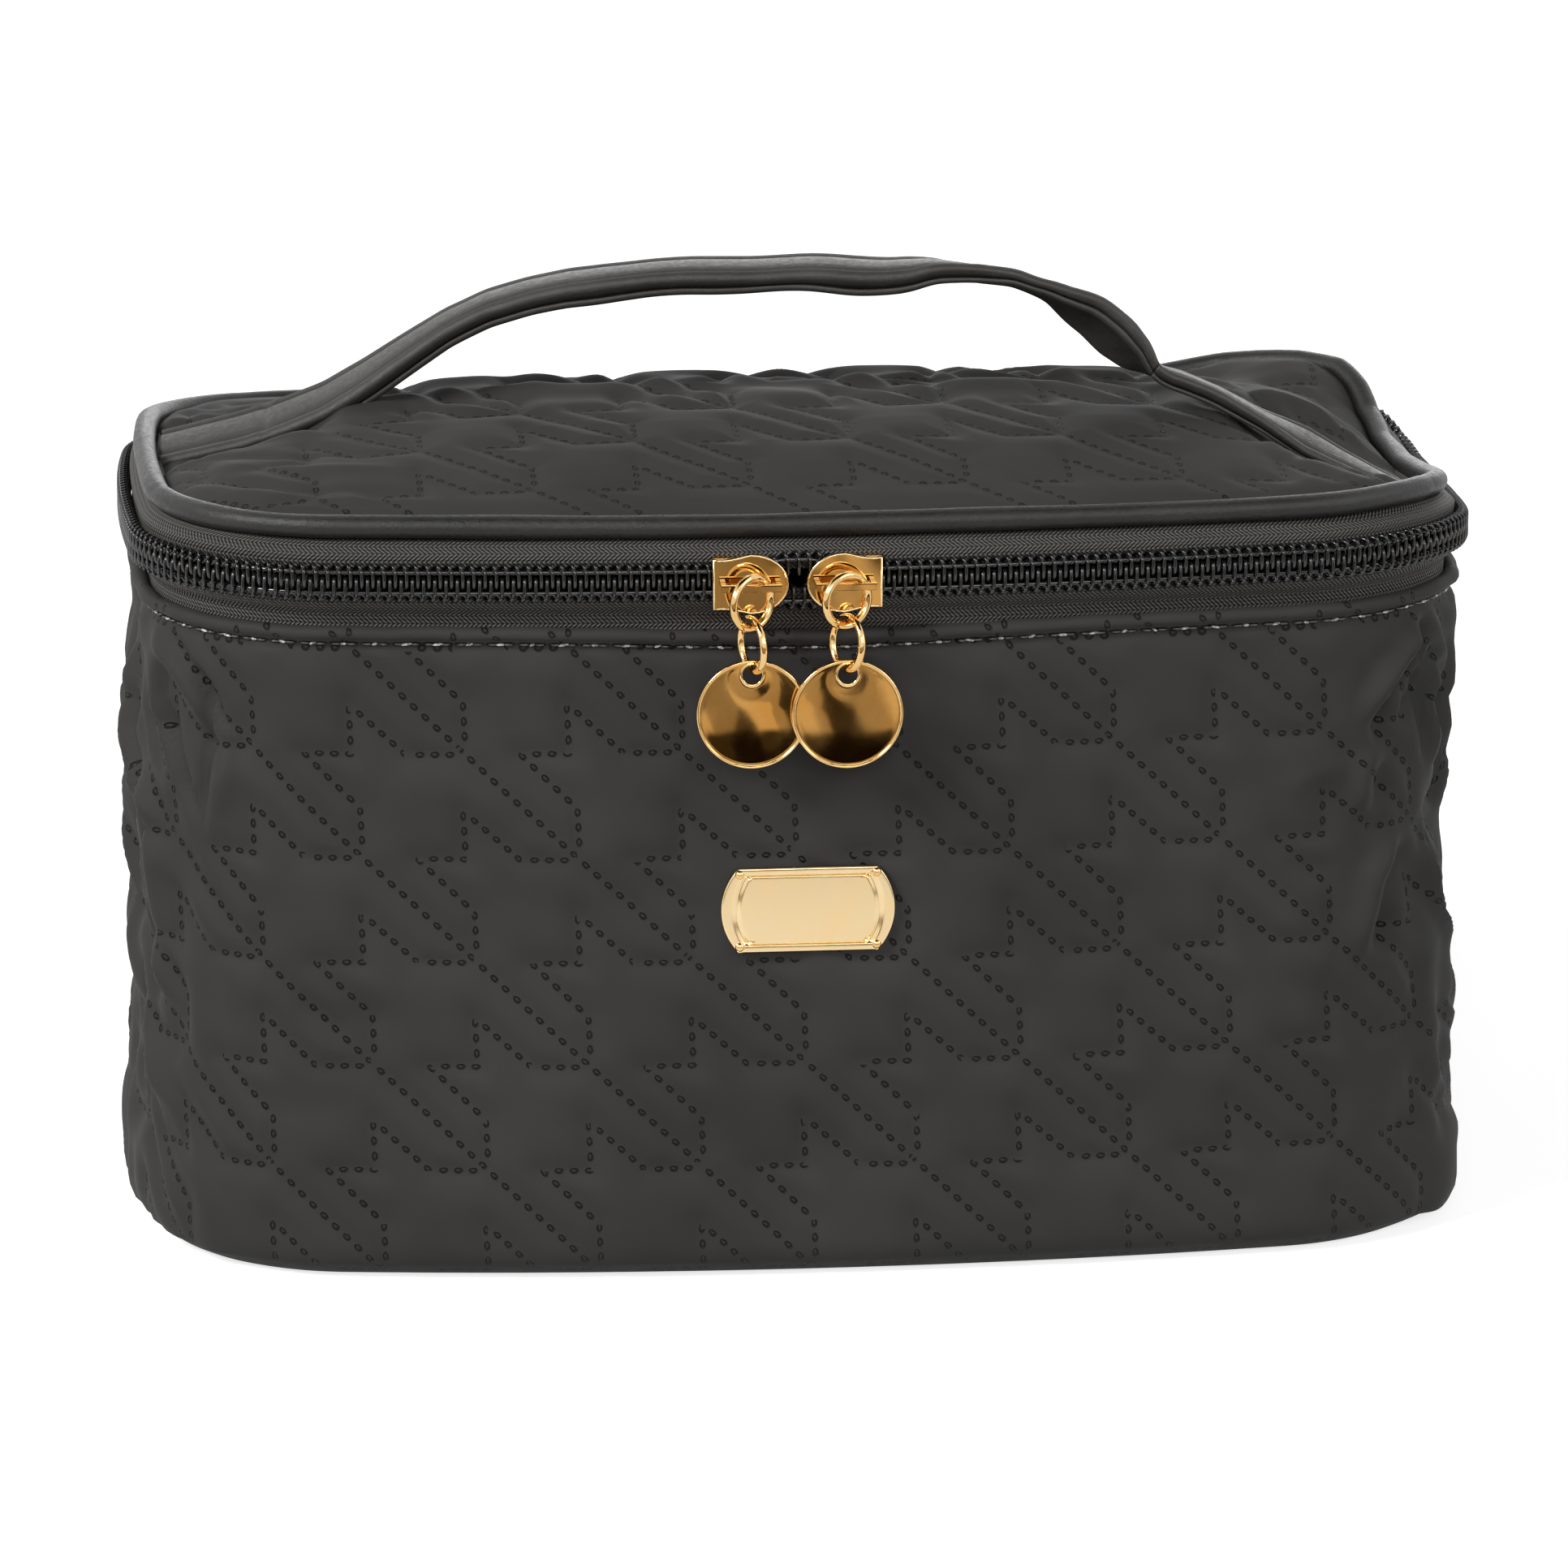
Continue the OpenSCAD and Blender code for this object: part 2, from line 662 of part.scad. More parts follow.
// Puts its children at a slider's middle, with X along the front, Y inward
// and Z up. side is -1 for the left slider and 1 for the right one. Y = 0 is
// the wall's outer face.
module on_slider(side) {
    x = meet_x + side * slider_mid;
    turn = asin(x / (front_bow_r + zip_out));
    translate([front_mid[0], front_mid[1], zip_z]) rotate([0, 0, turn])
        translate([0, -front_bow_r, 0]) children();
}

// Shield outline of a plate: flat tail, a slight waist, wings and a nose.
// The nose points along +X.
nose_l = slider_l * 0.5;
plate_steps = 8;
function shield_edge(tail_h, wing_h) =
    concat(
        [for (k = [0:plate_steps])
            let (t = k / plate_steps)
            [-slider_l / 2 + t * (slider_l - nose_l),
             tail_h + (wing_h - tail_h) * eased(t) - 0.35 * sin(180 * t)]],
        [for (k = [1:plate_steps - 1])
            let (a = 90 * k / plate_steps)
            [slider_l / 2 - nose_l + nose_l * sin(a), wing_h * cos(a)]]);
module shield(tail_h, wing_h) {
    edge = shield_edge(tail_h, wing_h);
    polygon(concat(
        edge, [[slider_l / 2, 0]],
        [for (i = [len(edge) - 1:-1:0]) [edge[i][0], -edge[i][1]]]));
}

// A layer of the slider between two offsets from the wall.
module slider_layer(inner, outer) {
    translate([0, -inner, 0]) rotate([90, 0, 0])
        linear_extrude(outer - inner) children();
}

leg_l = 0.9;
leg_sink = 0.3;
slider_flange_l = slider_l * 0.45;
// The wedge between the plates parts the rows. It fills the space that the
// teeth leave open, from where that is wide enough to near the nose. x runs
// from the slider's middle to its nose.
wedge_steps = 4;
function wedge_half(x) =
    spread(meet_s - slider_mid + x - tooth_w) - tooth_reach - run_gap;
function wedge_edge(up, last = 0) =
    [for (k = [0:wedge_steps])
        let (x = slider_l * (0.26 + 0.2 * abs(last - k) / wedge_steps))
        [x, up * max(wedge_half(x), 0.15)]];
module slider_body(side) {
    flange_h = slider_tail_h - coil_w / 2 - 0.15;
    flange_out = tape_face + run_gap;
    color(gold) on_slider(side) mirror([side > 0 ? 1 : 0, 0, 0])
        difference() {
            union() {
                slider_layer(channel_out, face_out)
                    shield(slider_tail_h, slider_wing_h);
                slider_layer(channel_in - slider_plate_t, channel_in)
                    shield(slider_tail_h - 0.3, slider_wing_h - 0.7);
                slider_layer(channel_in - skin, channel_out + skin)
                    polygon(concat(wedge_edge(1), wedge_edge(-1, wedge_steps)));
                for (up = [-1, 1])
                    slider_layer(flange_out, channel_out + skin)
                        translate([-slider_l / 2, up > 0
                                   ? slider_tail_h - flange_h : -slider_tail_h])
                            square([slider_flange_l, flange_h]);
            }
            bridge_legs(layer_gap / 2);
        }
}

// The bridge is a flat bar with rounded long edges on two legs that are
// pressed into the slider's face.
module bridge_legs(gap) {
    for (end = [-1, 1])
        translate([end * (bridge_l - leg_l) / 2, -face_out, 0])
            translate([0, -(bridge_h - leg_sink) / 2, 0])
                cube([leg_l + 2 * gap, bridge_h + leg_sink + 2 * gap,
                      bridge_w * 0.7 + 2 * gap], center = true);
}
module bridge(side) {
    color(gold) on_slider(side) {
        translate([0, -bar_out, 0]) intersection() {
            rotate([0, 90, 0])
                cylinder(d = bridge_w, h = bridge_l, center = true, $fn = rim_fn);
            cube([bridge_l, bridge_t, bridge_w], center = true);
        }
        bridge_legs(0);
    }
}

// The upper ring is turned so that one limb passes in front of the bar and
// the other behind it.
ring_top = 2.2;                     // ring's top wire above the bar's middle
ring_back = bridge_w / 2 + ring_wire / 2 + bar_gap;
ring_cross = sqrt(ring_r * ring_r - pow(ring_r - ring_top, 2));
function ring_turn(side) = side < 0 ? 40 : 30;
function ring_out(side) = bar_out - ring_back + ring_cross * sin(ring_turn(side));
link_drop = (ring_wire + link_wire) / 2 + link_gap;
link_turn = [68, 62];
function link_pitch(side) = side < 0 ? -4 : 12;
link_hang = 2 * link_r - link_drop;

module upright_ring(r, wire) {
    rotate([90, 0, 0]) rotate_extrude($fn = rim_fn)
        translate([r, 0]) circle(d = wire, $fn = wire_fn);
}
module ring(side) {
    color(gold) on_slider(side)
        translate([0, -ring_out(side), ring_top - ring_r])
            rotate([0, 0, ring_turn(side)]) upright_ring(ring_r, ring_wire);
}

// Puts its children at the upper ring's lowest point.
module on_ring(side) {
    on_slider(side)
        translate([0, -ring_out(side), ring_top - 2 * ring_r]) children();
}
// The lower ring hangs in the upper one and leans out by its pitch.
module link(side) {
    turn = link_turn[side < 0 ? 0 : 1];
    color(gold) on_ring(side) rotate([-link_pitch(side), 0, 0])
        translate([0, 0, link_drop - link_r]) rotate([0, 0, -turn])
            upright_ring(link_r, link_wire);
}

// A coin with a raised rim, hung by its hole on the lower ring.
rim_w = 0.7;
rim_h = 0.15;
module coin(side) {
    lean = link_pitch(side);
    hole_z = link_wire / 2 + hole_gap - coin_hole_d / 2;
    color(gold) on_ring(side)
        translate([0, -link_hang * sin(lean), -link_hang * cos(lean)])
            translate([0, 0, hole_z - coin_hole_rise]) rotate([90, 0, 0])
                difference() {
                    cylinder(d = coin_d, h = coin_t, center = true, $fn = rim_fn);
                    for (face = [-1, 1])
                        translate([0, 0, face * coin_t / 2])
                            cylinder(d = coin_d - 2 * rim_w, h = 2 * rim_h,
                                     center = true, $fn = rim_fn);
                    translate([0, coin_hole_rise, 0])
                        cylinder(d = coin_hole_d, h = 2 * coin_t, center = true,
                                 $fn = wire_fn);
                }
}

module slider_left() { slider_body(-1); }
module bridge_left() { bridge(-1); }
module ring_left() { ring(-1); }
module link_left() { link(-1); }
module coin_left() { coin(-1); }
module slider_right() { slider_body(1); }
module bridge_right() { bridge(1); }
module ring_right() { ring(1); }
module link_right() { link(1); }
module coin_right() { coin(1); }

wall_cover();
wall_foam();
wall_lining();
base_cover();
base_board();
floor_lining();
zip_tape_lower();
zip_coil_lower();
hinge_strip();
badge_plate();
badge_backing();
lid_cover();
lid_foam();
lid_lining();
lid_piping();
lid_piping_cord();
zip_tape_upper();
zip_coil_upper();
strap_end_left();
strap_end_right();
handle_strap();
handle_core();
slider_left();
bridge_left();
ring_left();
link_left();
coin_left();
slider_right();
bridge_right();
ring_right();
link_right();
coin_right();
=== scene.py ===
import bpy
import numpy as np
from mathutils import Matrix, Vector


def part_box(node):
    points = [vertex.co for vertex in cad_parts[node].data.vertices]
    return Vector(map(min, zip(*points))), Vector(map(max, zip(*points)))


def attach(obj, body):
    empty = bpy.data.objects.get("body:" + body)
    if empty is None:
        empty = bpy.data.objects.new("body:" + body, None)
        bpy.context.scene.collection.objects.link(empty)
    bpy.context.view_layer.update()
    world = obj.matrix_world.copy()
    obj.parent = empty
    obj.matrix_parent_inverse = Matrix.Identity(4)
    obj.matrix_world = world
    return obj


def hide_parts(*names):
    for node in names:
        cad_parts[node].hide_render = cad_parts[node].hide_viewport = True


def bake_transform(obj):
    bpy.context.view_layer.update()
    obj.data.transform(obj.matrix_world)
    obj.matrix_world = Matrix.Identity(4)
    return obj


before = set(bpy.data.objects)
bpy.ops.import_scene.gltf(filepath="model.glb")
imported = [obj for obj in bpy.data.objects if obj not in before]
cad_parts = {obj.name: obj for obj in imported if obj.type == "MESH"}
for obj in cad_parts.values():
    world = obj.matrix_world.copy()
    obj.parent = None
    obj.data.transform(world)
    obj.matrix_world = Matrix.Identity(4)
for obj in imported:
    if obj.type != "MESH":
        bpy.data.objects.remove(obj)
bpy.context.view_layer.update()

# ---------------------------------------------------------------------------
# Camera: a long lens, above the case and turned a little to its side. All the
# other sizes are in millimetres and become metres when a mesh is made.
# ---------------------------------------------------------------------------
MM = 0.001
FOCAL_PX, PICTURE_PX, SENSOR_MM = 11844, 1932, 36.0
CAMERA_DOWN, CAMERA_TURN = 14.94, 5.18

camera = bpy.data.cameras.new("studio_camera")
camera.sensor_fit = "HORIZONTAL"
camera.sensor_width = SENSOR_MM
camera.lens = SENSOR_MM * FOCAL_PX / PICTURE_PX
camera.clip_end = 50.0
camera_stand = bpy.data.objects.new("studio_camera", camera)
bpy.context.scene.collection.objects.link(camera_stand)
camera_stand.location = (-0.15756, -1.73200, 0.53850)
camera_stand.rotation_euler = (np.radians(90 - CAMERA_DOWN), 0.0, np.radians(-CAMERA_TURN))
bpy.context.scene.camera = camera_stand
bpy.context.scene.view_settings.view_transform = "Standard"

# ---------------------------------------------------------------------------
# The case's outline: bowed front, back and sides with round corners. A place
# along it is u, from the front's middle to the right, and off is how far out
# of it a point lies.
# ---------------------------------------------------------------------------
HALF_W, HALF_D, CORNER_R = 121.0, 70.0, 38.0
FRONT_BOW, BACK_BOW, SIDE_BOW = 680.0, 1600.0, 400.0
ZIP_Z, PIPING_Z = 131.3, 140.6
ZIP_OUT, PIPING_IN, PIPING_R = 1.8, 2.2, 2.15
# The groove under the rolled hem, where the topstitching lies.
GROOVE_Z = 121.9


def corner_middle(bow):
    """Middle of a corner's round: inside both bows by their radius less the corner's."""
    end = np.array([0.0, -(bow - HALF_D)])
    side = np.array([-(SIDE_BOW - HALF_W), 0.0])
    to_end, to_side = bow - CORNER_R, SIDE_BOW - CORNER_R
    apart = np.linalg.norm(side - end)
    along = (side - end) / apart
    s = (to_end**2 - to_side**2 + apart**2) / (2 * apart)
    h = np.sqrt(to_end**2 - s**2)
    middle = end + s * along + h * np.array([along[1], -along[0]])
    from_end, from_side = middle - end, middle - side
    return middle, np.arctan2(from_end[0], from_end[1]), np.arctan2(from_side[1], from_side[0])


def outline_arcs():
    """Rows of (x, y, radius, first angle, last angle), turning left from the back left corner."""
    (fx, fy), f_end, f_side = corner_middle(FRONT_BOW)
    (bx, by), b_end, b_side = corner_middle(BACK_BOW)
    q = np.pi / 2
    side_x = SIDE_BOW - HALF_W
    return np.array([
        [-bx, by, CORNER_R, q + b_end, 2 * q - b_side],
        [side_x, 0, SIDE_BOW, 2 * q - b_side, 2 * q + f_side],
        [-fx, -fy, CORNER_R, 2 * q + f_side, 3 * q - f_end],
        [0, FRONT_BOW - HALF_D, FRONT_BOW, 3 * q - f_end, 3 * q + f_end],
        [fx, -fy, CORNER_R, 3 * q + f_end, 4 * q - f_side],
        [-side_x, 0, SIDE_BOW, 4 * q - f_side, 4 * q + b_side],
        [bx, by, CORNER_R, 4 * q + b_side, 5 * q - b_end],
        [0, -(BACK_BOW - HALF_D), BACK_BOW, 5 * q - b_end, 5 * q + b_end],
    ])


ARCS = outline_arcs()
ARC_L = ARCS[:, 2] * (ARCS[:, 4] - ARCS[:, 3])
ARC_START = np.concatenate([[0.0], np.cumsum(ARC_L)])
ROUND_L = ARC_START[-1]
FRONT_S = ARC_START[3] + ARC_L[3] / 2
ZIP_FROM, ZIP_TO = -FRONT_S, ARC_START[7] - FRONT_S
ZIP_L = ZIP_TO - ZIP_FROM


def rim(u, off):
    """Points on the outline moved out by off, u along the wall from the front's middle.

    Each is its arc's middle plus (radius + off) times (cos, sin) of its angle.
    Returns x and y on the last axis, and the outward direction.
    """
    u, off = np.broadcast_arrays(np.asarray(u, float), np.asarray(off, float))
    s = (u + FRONT_S) % ROUND_L
    k = np.clip(np.searchsorted(ARC_START, s, "right") - 1, 0, 7)
    angle = ARCS[k, 3] + (s - ARC_START[k]) / ARCS[k, 2]
    out = np.stack([np.cos(angle), np.sin(angle)], -1)
    return ARCS[k, :2] + (ARCS[k, 2] + off)[..., None] * out, out


def all_round(columns):
    """Even places along the whole outline, as rim's u."""
    return np.linspace(-ROUND_L / 2, ROUND_L / 2, columns, endpoint=False)


def full_turn(steps):
    """Even angles round a circle."""
    return np.linspace(0, 2 * np.pi, steps, endpoint=False)


def smooth(a, b, x):
    """0 before a, 1 after b, and a smooth S between them."""
    t = np.clip((np.asarray(x, float) - a) / (b - a), 0, 1)
    return t * t * (3 - 2 * t)


def table(x, pairs):
    """Value at x on straight lines between (place, value) pairs."""
    pairs = np.array(pairs, float)
    return np.interp(x, pairs[:, 0], pairs[:, 1])


def ripple(a, b, seed, waves, size):
    """Sum of sine waves of random direction and phase in a plane, from -1 to 1."""
    rng = np.random.default_rng(seed)
    total = np.zeros(np.broadcast(a, b).shape)
    for _ in range(waves):
        turn, phase = rng.uniform(0, 2 * np.pi, 2)
        step = 2 * np.pi / (size * rng.uniform(0.7, 1.5))
        total += np.sin(step * (a * np.cos(turn) + b * np.sin(turn)) + phase)
    return total / waves


def unit(vectors):
    """Vectors brought to length 1."""
    return vectors / np.linalg.norm(vectors, axis=-1, keepdims=True)


def blurred(values, times):
    """Values evened out: each inner one becomes half of itself and a quarter of its neighbours."""
    for _ in range(times):
        values[1:-1] = 0.25 * values[:-2] + 0.5 * values[1:-1] + 0.25 * values[2:]
    return values


# ---------------------------------------------------------------------------
# How the soft case settles: the back of the lid and the right side sag.
# ---------------------------------------------------------------------------
def right_dip(x, y):
    """Share of the dip where the strap's end pulls the right side down."""
    along = table(y, [(-55, 0), (-45, .1), (-35, .25), (-15, .65), (5, .95), (25, 1),
                      (38, .75), (45, .3), (51, 0)])
    return along * np.exp(-((118 - np.minimum(x, 118)) / 16.0) ** 2)


def lid_drop(x, y):
    """Height that the lid's level loses at x, y."""
    back = table(x, [(-118, 3.5), (-98, 5.0), (-60, 6.6), (0, 7.2), (50, 6.4), (74, 4.6),
                     (90, 1.6), (104, 0), (120, 0)])
    return back * smooth(2, 66, y) + 8.6 * right_dip(x, y)


def settle(points):
    """Lowers points by the lid's drop: all of it at the lid, and less further down the wall."""
    x, y, z = points[..., 0], points[..., 1], points[..., 2]
    share = table(z, [(70, 0), (100, .12), (125, .38), (131, .5), (135, .62), (140, 1)])
    dip = right_dip(x, y)
    settled = points.copy()
    settled[..., 2] = z - lid_drop(x, y) * share
    settled[..., 0] = x - 2.6 * dip * smooth(134, 140, z) * smooth(100, 112, x)
    return settled


# ---------------------------------------------------------------------------
# Meshes
# ---------------------------------------------------------------------------
def put_mesh(name, points, faces, material, thread=None):
    """A mesh object from points (n, 3) in mm and a list of index arrays (m, 3 or 4).

    A closed mesh whose volume comes out negative is turned so that it faces out.
    thread is the cloth map: an array like each of faces, with two places per corner.
    """
    points = np.asarray(points, float).reshape(-1, 3)
    faces = [np.asarray(f, np.int64) for f in faces]
    volume = 0.0
    for f in faces:
        for i in range(1, f.shape[1] - 1):
            a, b, c = points[f[:, 0]], points[f[:, i]], points[f[:, i + 1]]
            volume += np.einsum("ij,ij->", a, np.cross(b, c))
    if volume < 0:
        faces = [f[:, ::-1] for f in faces]
        if thread is not None:
            thread = [t[:, ::-1] for t in thread]
    sizes = np.concatenate([np.full(len(f), f.shape[1]) for f in faces])
    corners = np.concatenate([f.ravel() for f in faces])
    loop_start = np.concatenate([[0], np.cumsum(sizes)[:-1]])
    mesh = bpy.data.meshes.new(name)
    mesh.vertices.add(len(points))
    mesh.vertices.foreach_set("co", (points * MM).astype(np.float32).ravel())
    mesh.loops.add(len(corners))
    mesh.loops.foreach_set("vertex_index", corners.astype(np.int32))
    mesh.polygons.add(len(sizes))
    mesh.polygons.foreach_set("loop_start", loop_start.astype(np.int32))
    mesh.update(calc_edges=True)
    if thread is not None:
        places = np.concatenate([t.reshape(-1, 2) for t in thread])
        layer = mesh.uv_layers.new(name="thread")
        layer.data.foreach_set("uv", places.astype(np.float32).ravel())
    mesh.shade_smooth()
    mesh.materials.append(material)
    piece = bpy.data.objects.new(name, mesh)
    bpy.context.scene.collection.objects.link(piece)
    return piece


def grid_faces(rows, cols, wrap_rows=False, wrap_cols=False, start=0):
    """Quads between neighbours of a grid of points, laid out row by row."""
    j = np.arange(rows if wrap_rows else rows - 1)
    k = np.arange(cols if wrap_cols else cols - 1)
    j, k = [g.ravel() for g in np.meshgrid(j, k, indexing="ij")]
    j2, k2 = (j + 1) % rows, (k + 1) % cols
    return start + np.stack([j * cols + k, j * cols + k2, j2 * cols + k2, j2 * cols + k], -1)


def fan(ring, middle):
    """Triangles from a closed ring of indices to one middle point."""
    return np.stack([ring, np.roll(ring, -1), np.full(len(ring), middle)], -1)


def capped_rings(rings, start=0):
    """Closed rings (rows, columns, 3) joined up, with a fan to the middle of each end ring."""
    rows, cols = rings.shape[:2]
    last = start + rows * cols
    ring = np.arange(cols)
    points = np.concatenate([rings.reshape(-1, 3), rings[:1].mean(1), rings[-1:].mean(1)])
    faces = [grid_faces(rows, cols, False, True, start),
             fan(start + ring[::-1], last), fan(last - cols + ring, last + 1)]
    return points, faces


def tube(path, radius, sides, closed=False, start=0, up=(0, 0, 1)):
    """A round profile carried along a path: middle + r (cos a * side + sin a * up).

    Returns points and faces; an open tube gets a fan at each end.
    """
    path = np.asarray(path, float)
    n = len(path)
    if closed:
        ahead = np.roll(path, -1, 0) - np.roll(path, 1, 0)
    else:
        ahead = np.gradient(path, axis=0)
    ahead = unit(ahead)
    side = unit(np.cross(ahead, np.asarray(up, float)))
    over = np.cross(side, ahead)
    radius = np.broadcast_to(radius, (n,))[:, None, None]
    a = full_turn(sides)[None, :, None]
    points = path[:, None] + radius * (np.cos(a) * side[:, None] + np.sin(a) * over[:, None])
    faces = [grid_faces(n, sides, closed, True, start)]
    points = points.reshape(-1, 3)
    if not closed:
        ring = start + np.arange(sides)
        last = start + n * sides
        points = np.concatenate([points, path[:1], path[-1:]])
        faces += [fan(ring, last), fan((ring + (n - 1) * sides)[::-1], last + 1)]
    return points, faces


def wire_rings(line, radius, sides, helper):
    """Rings round a bent wire's middle line: line + r (cos a * one side + sin a * the other).

    The first side is square to the line and to the helper direction.
    """
    ahead = unit(np.gradient(line, axis=0))
    one = unit(np.cross(ahead, helper))
    other = np.cross(one, ahead)
    turn = full_turn(sides)[None, :, None]
    radius = np.broadcast_to(radius, (len(line),))[:, None, None]
    return line[:, None] + radius * (np.cos(turn) * one[:, None] + np.sin(turn) * other[:, None])


def repeated(points):
    """Many like wires or capsules from points (count, steps, sides, 3), each with flat ends."""
    count, steps, sides = points.shape[:3]
    first = np.arange(count)[:, None] * (steps * sides)
    one = grid_faces(steps, sides, False, True)
    caps = []
    for ring in (np.arange(sides), (steps - 1) * sides + np.arange(sides)[::-1]):
        corner = first + ring
        caps += [np.stack([corner[:, 0], corner[:, i + 1], corner[:, i]], -1)
                 for i in range(1, sides - 1)]
    return points.reshape(-1, 3), [(one + first[..., None]).reshape(-1, 4), np.concatenate(caps)]


def profile_length(profile):
    """Distance along a profile at each of its points."""
    steps = np.linalg.norm(np.diff(np.asarray(profile, float), axis=0), axis=1)
    return np.concatenate([[0.0], np.cumsum(steps)])


def strip_uv(quads, cols, u, along, wrap):
    """Cloth coordinates in mm: along the outline and across the profile, per corner."""
    j, k = quads // cols, quads % cols
    a = u[k].copy()
    if wrap:
        a[(k == 0) & (k.max(1, keepdims=True) == cols - 1)] += ROUND_L
    return np.stack([a, along[j]], -1)


def profile_round(name, profile, material, columns, span=None, shift=None):
    """A closed (offset, height) profile carried round the outline, or along an open span of it.

    shift moves the points, from them, u, the profile and the outward directions.
    """
    whole_round = span is None
    u = all_round(columns) if whole_round else np.linspace(*span, columns)
    xy, out = rim(u[None, :], profile[:, :1])
    height = np.broadcast_to(profile[:, 1:2, None], xy.shape[:2] + (1,))
    points = np.concatenate([xy, height], -1)
    if shift is not None:
        points = shift(points, u, profile, out)
    points = settle(points)
    rows = len(profile)
    faces = [grid_faces(rows, columns, True, whole_round)]
    thread = [strip_uv(faces[0], columns, u, profile_length(profile), whole_round)]
    whole = points.reshape(-1, 3)
    if not whole_round:
        ring = np.arange(rows) * columns
        whole = np.concatenate([whole, points[:, :1].mean(0), points[:, -1:].mean(0)])
        ends = [fan(ring, rows * columns), fan((ring + columns - 1)[::-1], rows * columns + 1)]
        faces += ends
        thread += [np.zeros(end.shape + (2,)) for end in ends]
    return put_mesh(name, whole, faces, material, thread)


# ---------------------------------------------------------------------------
# Materials
# ---------------------------------------------------------------------------
def linear(hex_code):
    """sRGB hex to linear light, with full alpha."""
    c = np.array([int(hex_code[i:i + 2], 16) for i in (1, 3, 5)]) / 255
    return (*np.where(c <= 0.04045, c / 12.92, ((c + 0.055) / 1.055) ** 2.4), 1.0)


def node(tree, kind, inputs=(), out=0, stops=(), **settings):
    """Adds one node and returns one of its outputs, or all of them where out is None.

    inputs gives an input its value or the socket that feeds it, in a list from the
    first on or in a dictionary by name or number. stops are the (place, hex colour)
    pairs of a ramp, and the other words set the node's own attributes.
    """
    made = tree.nodes.new("ShaderNode" + kind)
    for key, value in settings.items():
        setattr(made, key, value)
    for key, value in inputs.items() if isinstance(inputs, dict) else enumerate(inputs):
        if isinstance(value, bpy.types.NodeSocket):
            tree.links.new(value, made.inputs[key])
        else:
            made.inputs[key].default_value = value
    for i, (place, colour) in enumerate(stops):
        made.color_ramp.elements[i].position = place
        made.color_ramp.elements[i].color = linear(colour)
    return made.outputs if out is None else made.outputs[out]


def finish(name, roughness, metallic=0.0, **constants):
    """An empty material, its nodes and its main shader, with constants on the shader's sockets."""
    material = bpy.data.materials.new(name)
    material.use_nodes = True
    shader = material.node_tree.nodes["Principled BSDF"]
    shader.inputs["Roughness"].default_value = roughness
    shader.inputs["Metallic"].default_value = metallic
    for key, value in constants.items():
        shader.inputs[key.replace("_", " ")].default_value = value
    return material, material.node_tree, shader


def feed(tree, shader, **sockets):
    """Links sockets to the shader's inputs of these names."""
    for key, socket in sockets.items():
        tree.links.new(socket, shader.inputs[key.replace("_", " ")])


def per_mm(size):
    """Texture scale on Object coordinates, in metres, for a feature of this size in mm."""
    return 1000.0 / size


def faux_leather_grain(tree, where):
    """Fine pebble grain of coated cloth: cells 0.34 mm across over slow unevenness."""
    cells = node(tree, "TexVoronoi", {"Vector": where, "Scale": per_mm(0.34)}, "Distance")
    slow = node(tree, "TexNoise",
                {"Vector": where, "Scale": per_mm(6.0), "Detail": 4.0, "Roughness": 0.6})
    fine = node(tree, "Bump", {"Height": cells, "Distance": 0.018 * MM, "Strength": 0.55})
    return node(tree, "Bump", {"Height": slow, "Distance": 0.12 * MM, "Strength": 0.5,
                               "Normal": fine})


def weld_imprints(tree, colour, normal):
    """Dark oval rings with a raised middle, pressed into the leather along the cloth map.

    The map's first place counts the imprints and its second is in mm across them. With
    a and b as the shares of the oval's half sizes, a ring lies where sqrt(a2 + b2) is near 1.
    """
    pitch, half_long, half_wide = 2.75, 0.80, 0.52
    thread = node(tree, "UVMap", uv_map="thread")
    along, across, _ = node(tree, "SeparateXYZ", [thread], None)
    shifted = node(tree, "Math", [along, 0.5], operation="ADD")
    share = node(tree, "Math", [shifted], operation="FRACT")
    step = node(tree, "Math", [share, 0.5], operation="SUBTRACT")
    a = node(tree, "Math", [step, pitch / half_long], operation="MULTIPLY")
    b = node(tree, "Math", [across, 1 / half_wide], operation="MULTIPLY")
    a2 = node(tree, "Math", [a, a], operation="MULTIPLY")
    b2 = node(tree, "Math", [b, b], operation="MULTIPLY")
    sum_of_squares = node(tree, "Math", [a2, b2], operation="ADD")
    r = node(tree, "Math", [sum_of_squares], operation="SQRT")
    outer = node(tree, "MapRange", [r, 0.78, 1.12, 1.0, 0.0])
    inner = node(tree, "MapRange", [r, 0.30, 0.72, 1.0, 0.0])
    raised = node(tree, "Math", [inner, 0.85], operation="MULTIPLY")
    ring = node(tree, "Math", [outer, raised], operation="SUBTRACT")
    dark = node(tree, "Math", [ring, 0.90], operation="MULTIPLY")
    level = node(tree, "Math", [1.0, ring], operation="SUBTRACT")
    return (node(tree, "Mix", {0: dark, 6: colour, 7: linear("#141312")}, 2, data_type="RGBA"),
            node(tree, "Bump", {"Height": level, "Distance": 0.55 * MM, "Strength": 1.0,
                                "Normal": normal}),
            node(tree, "MapRange", [ring, 0.0, 1.0, 0.70, 0.45]))


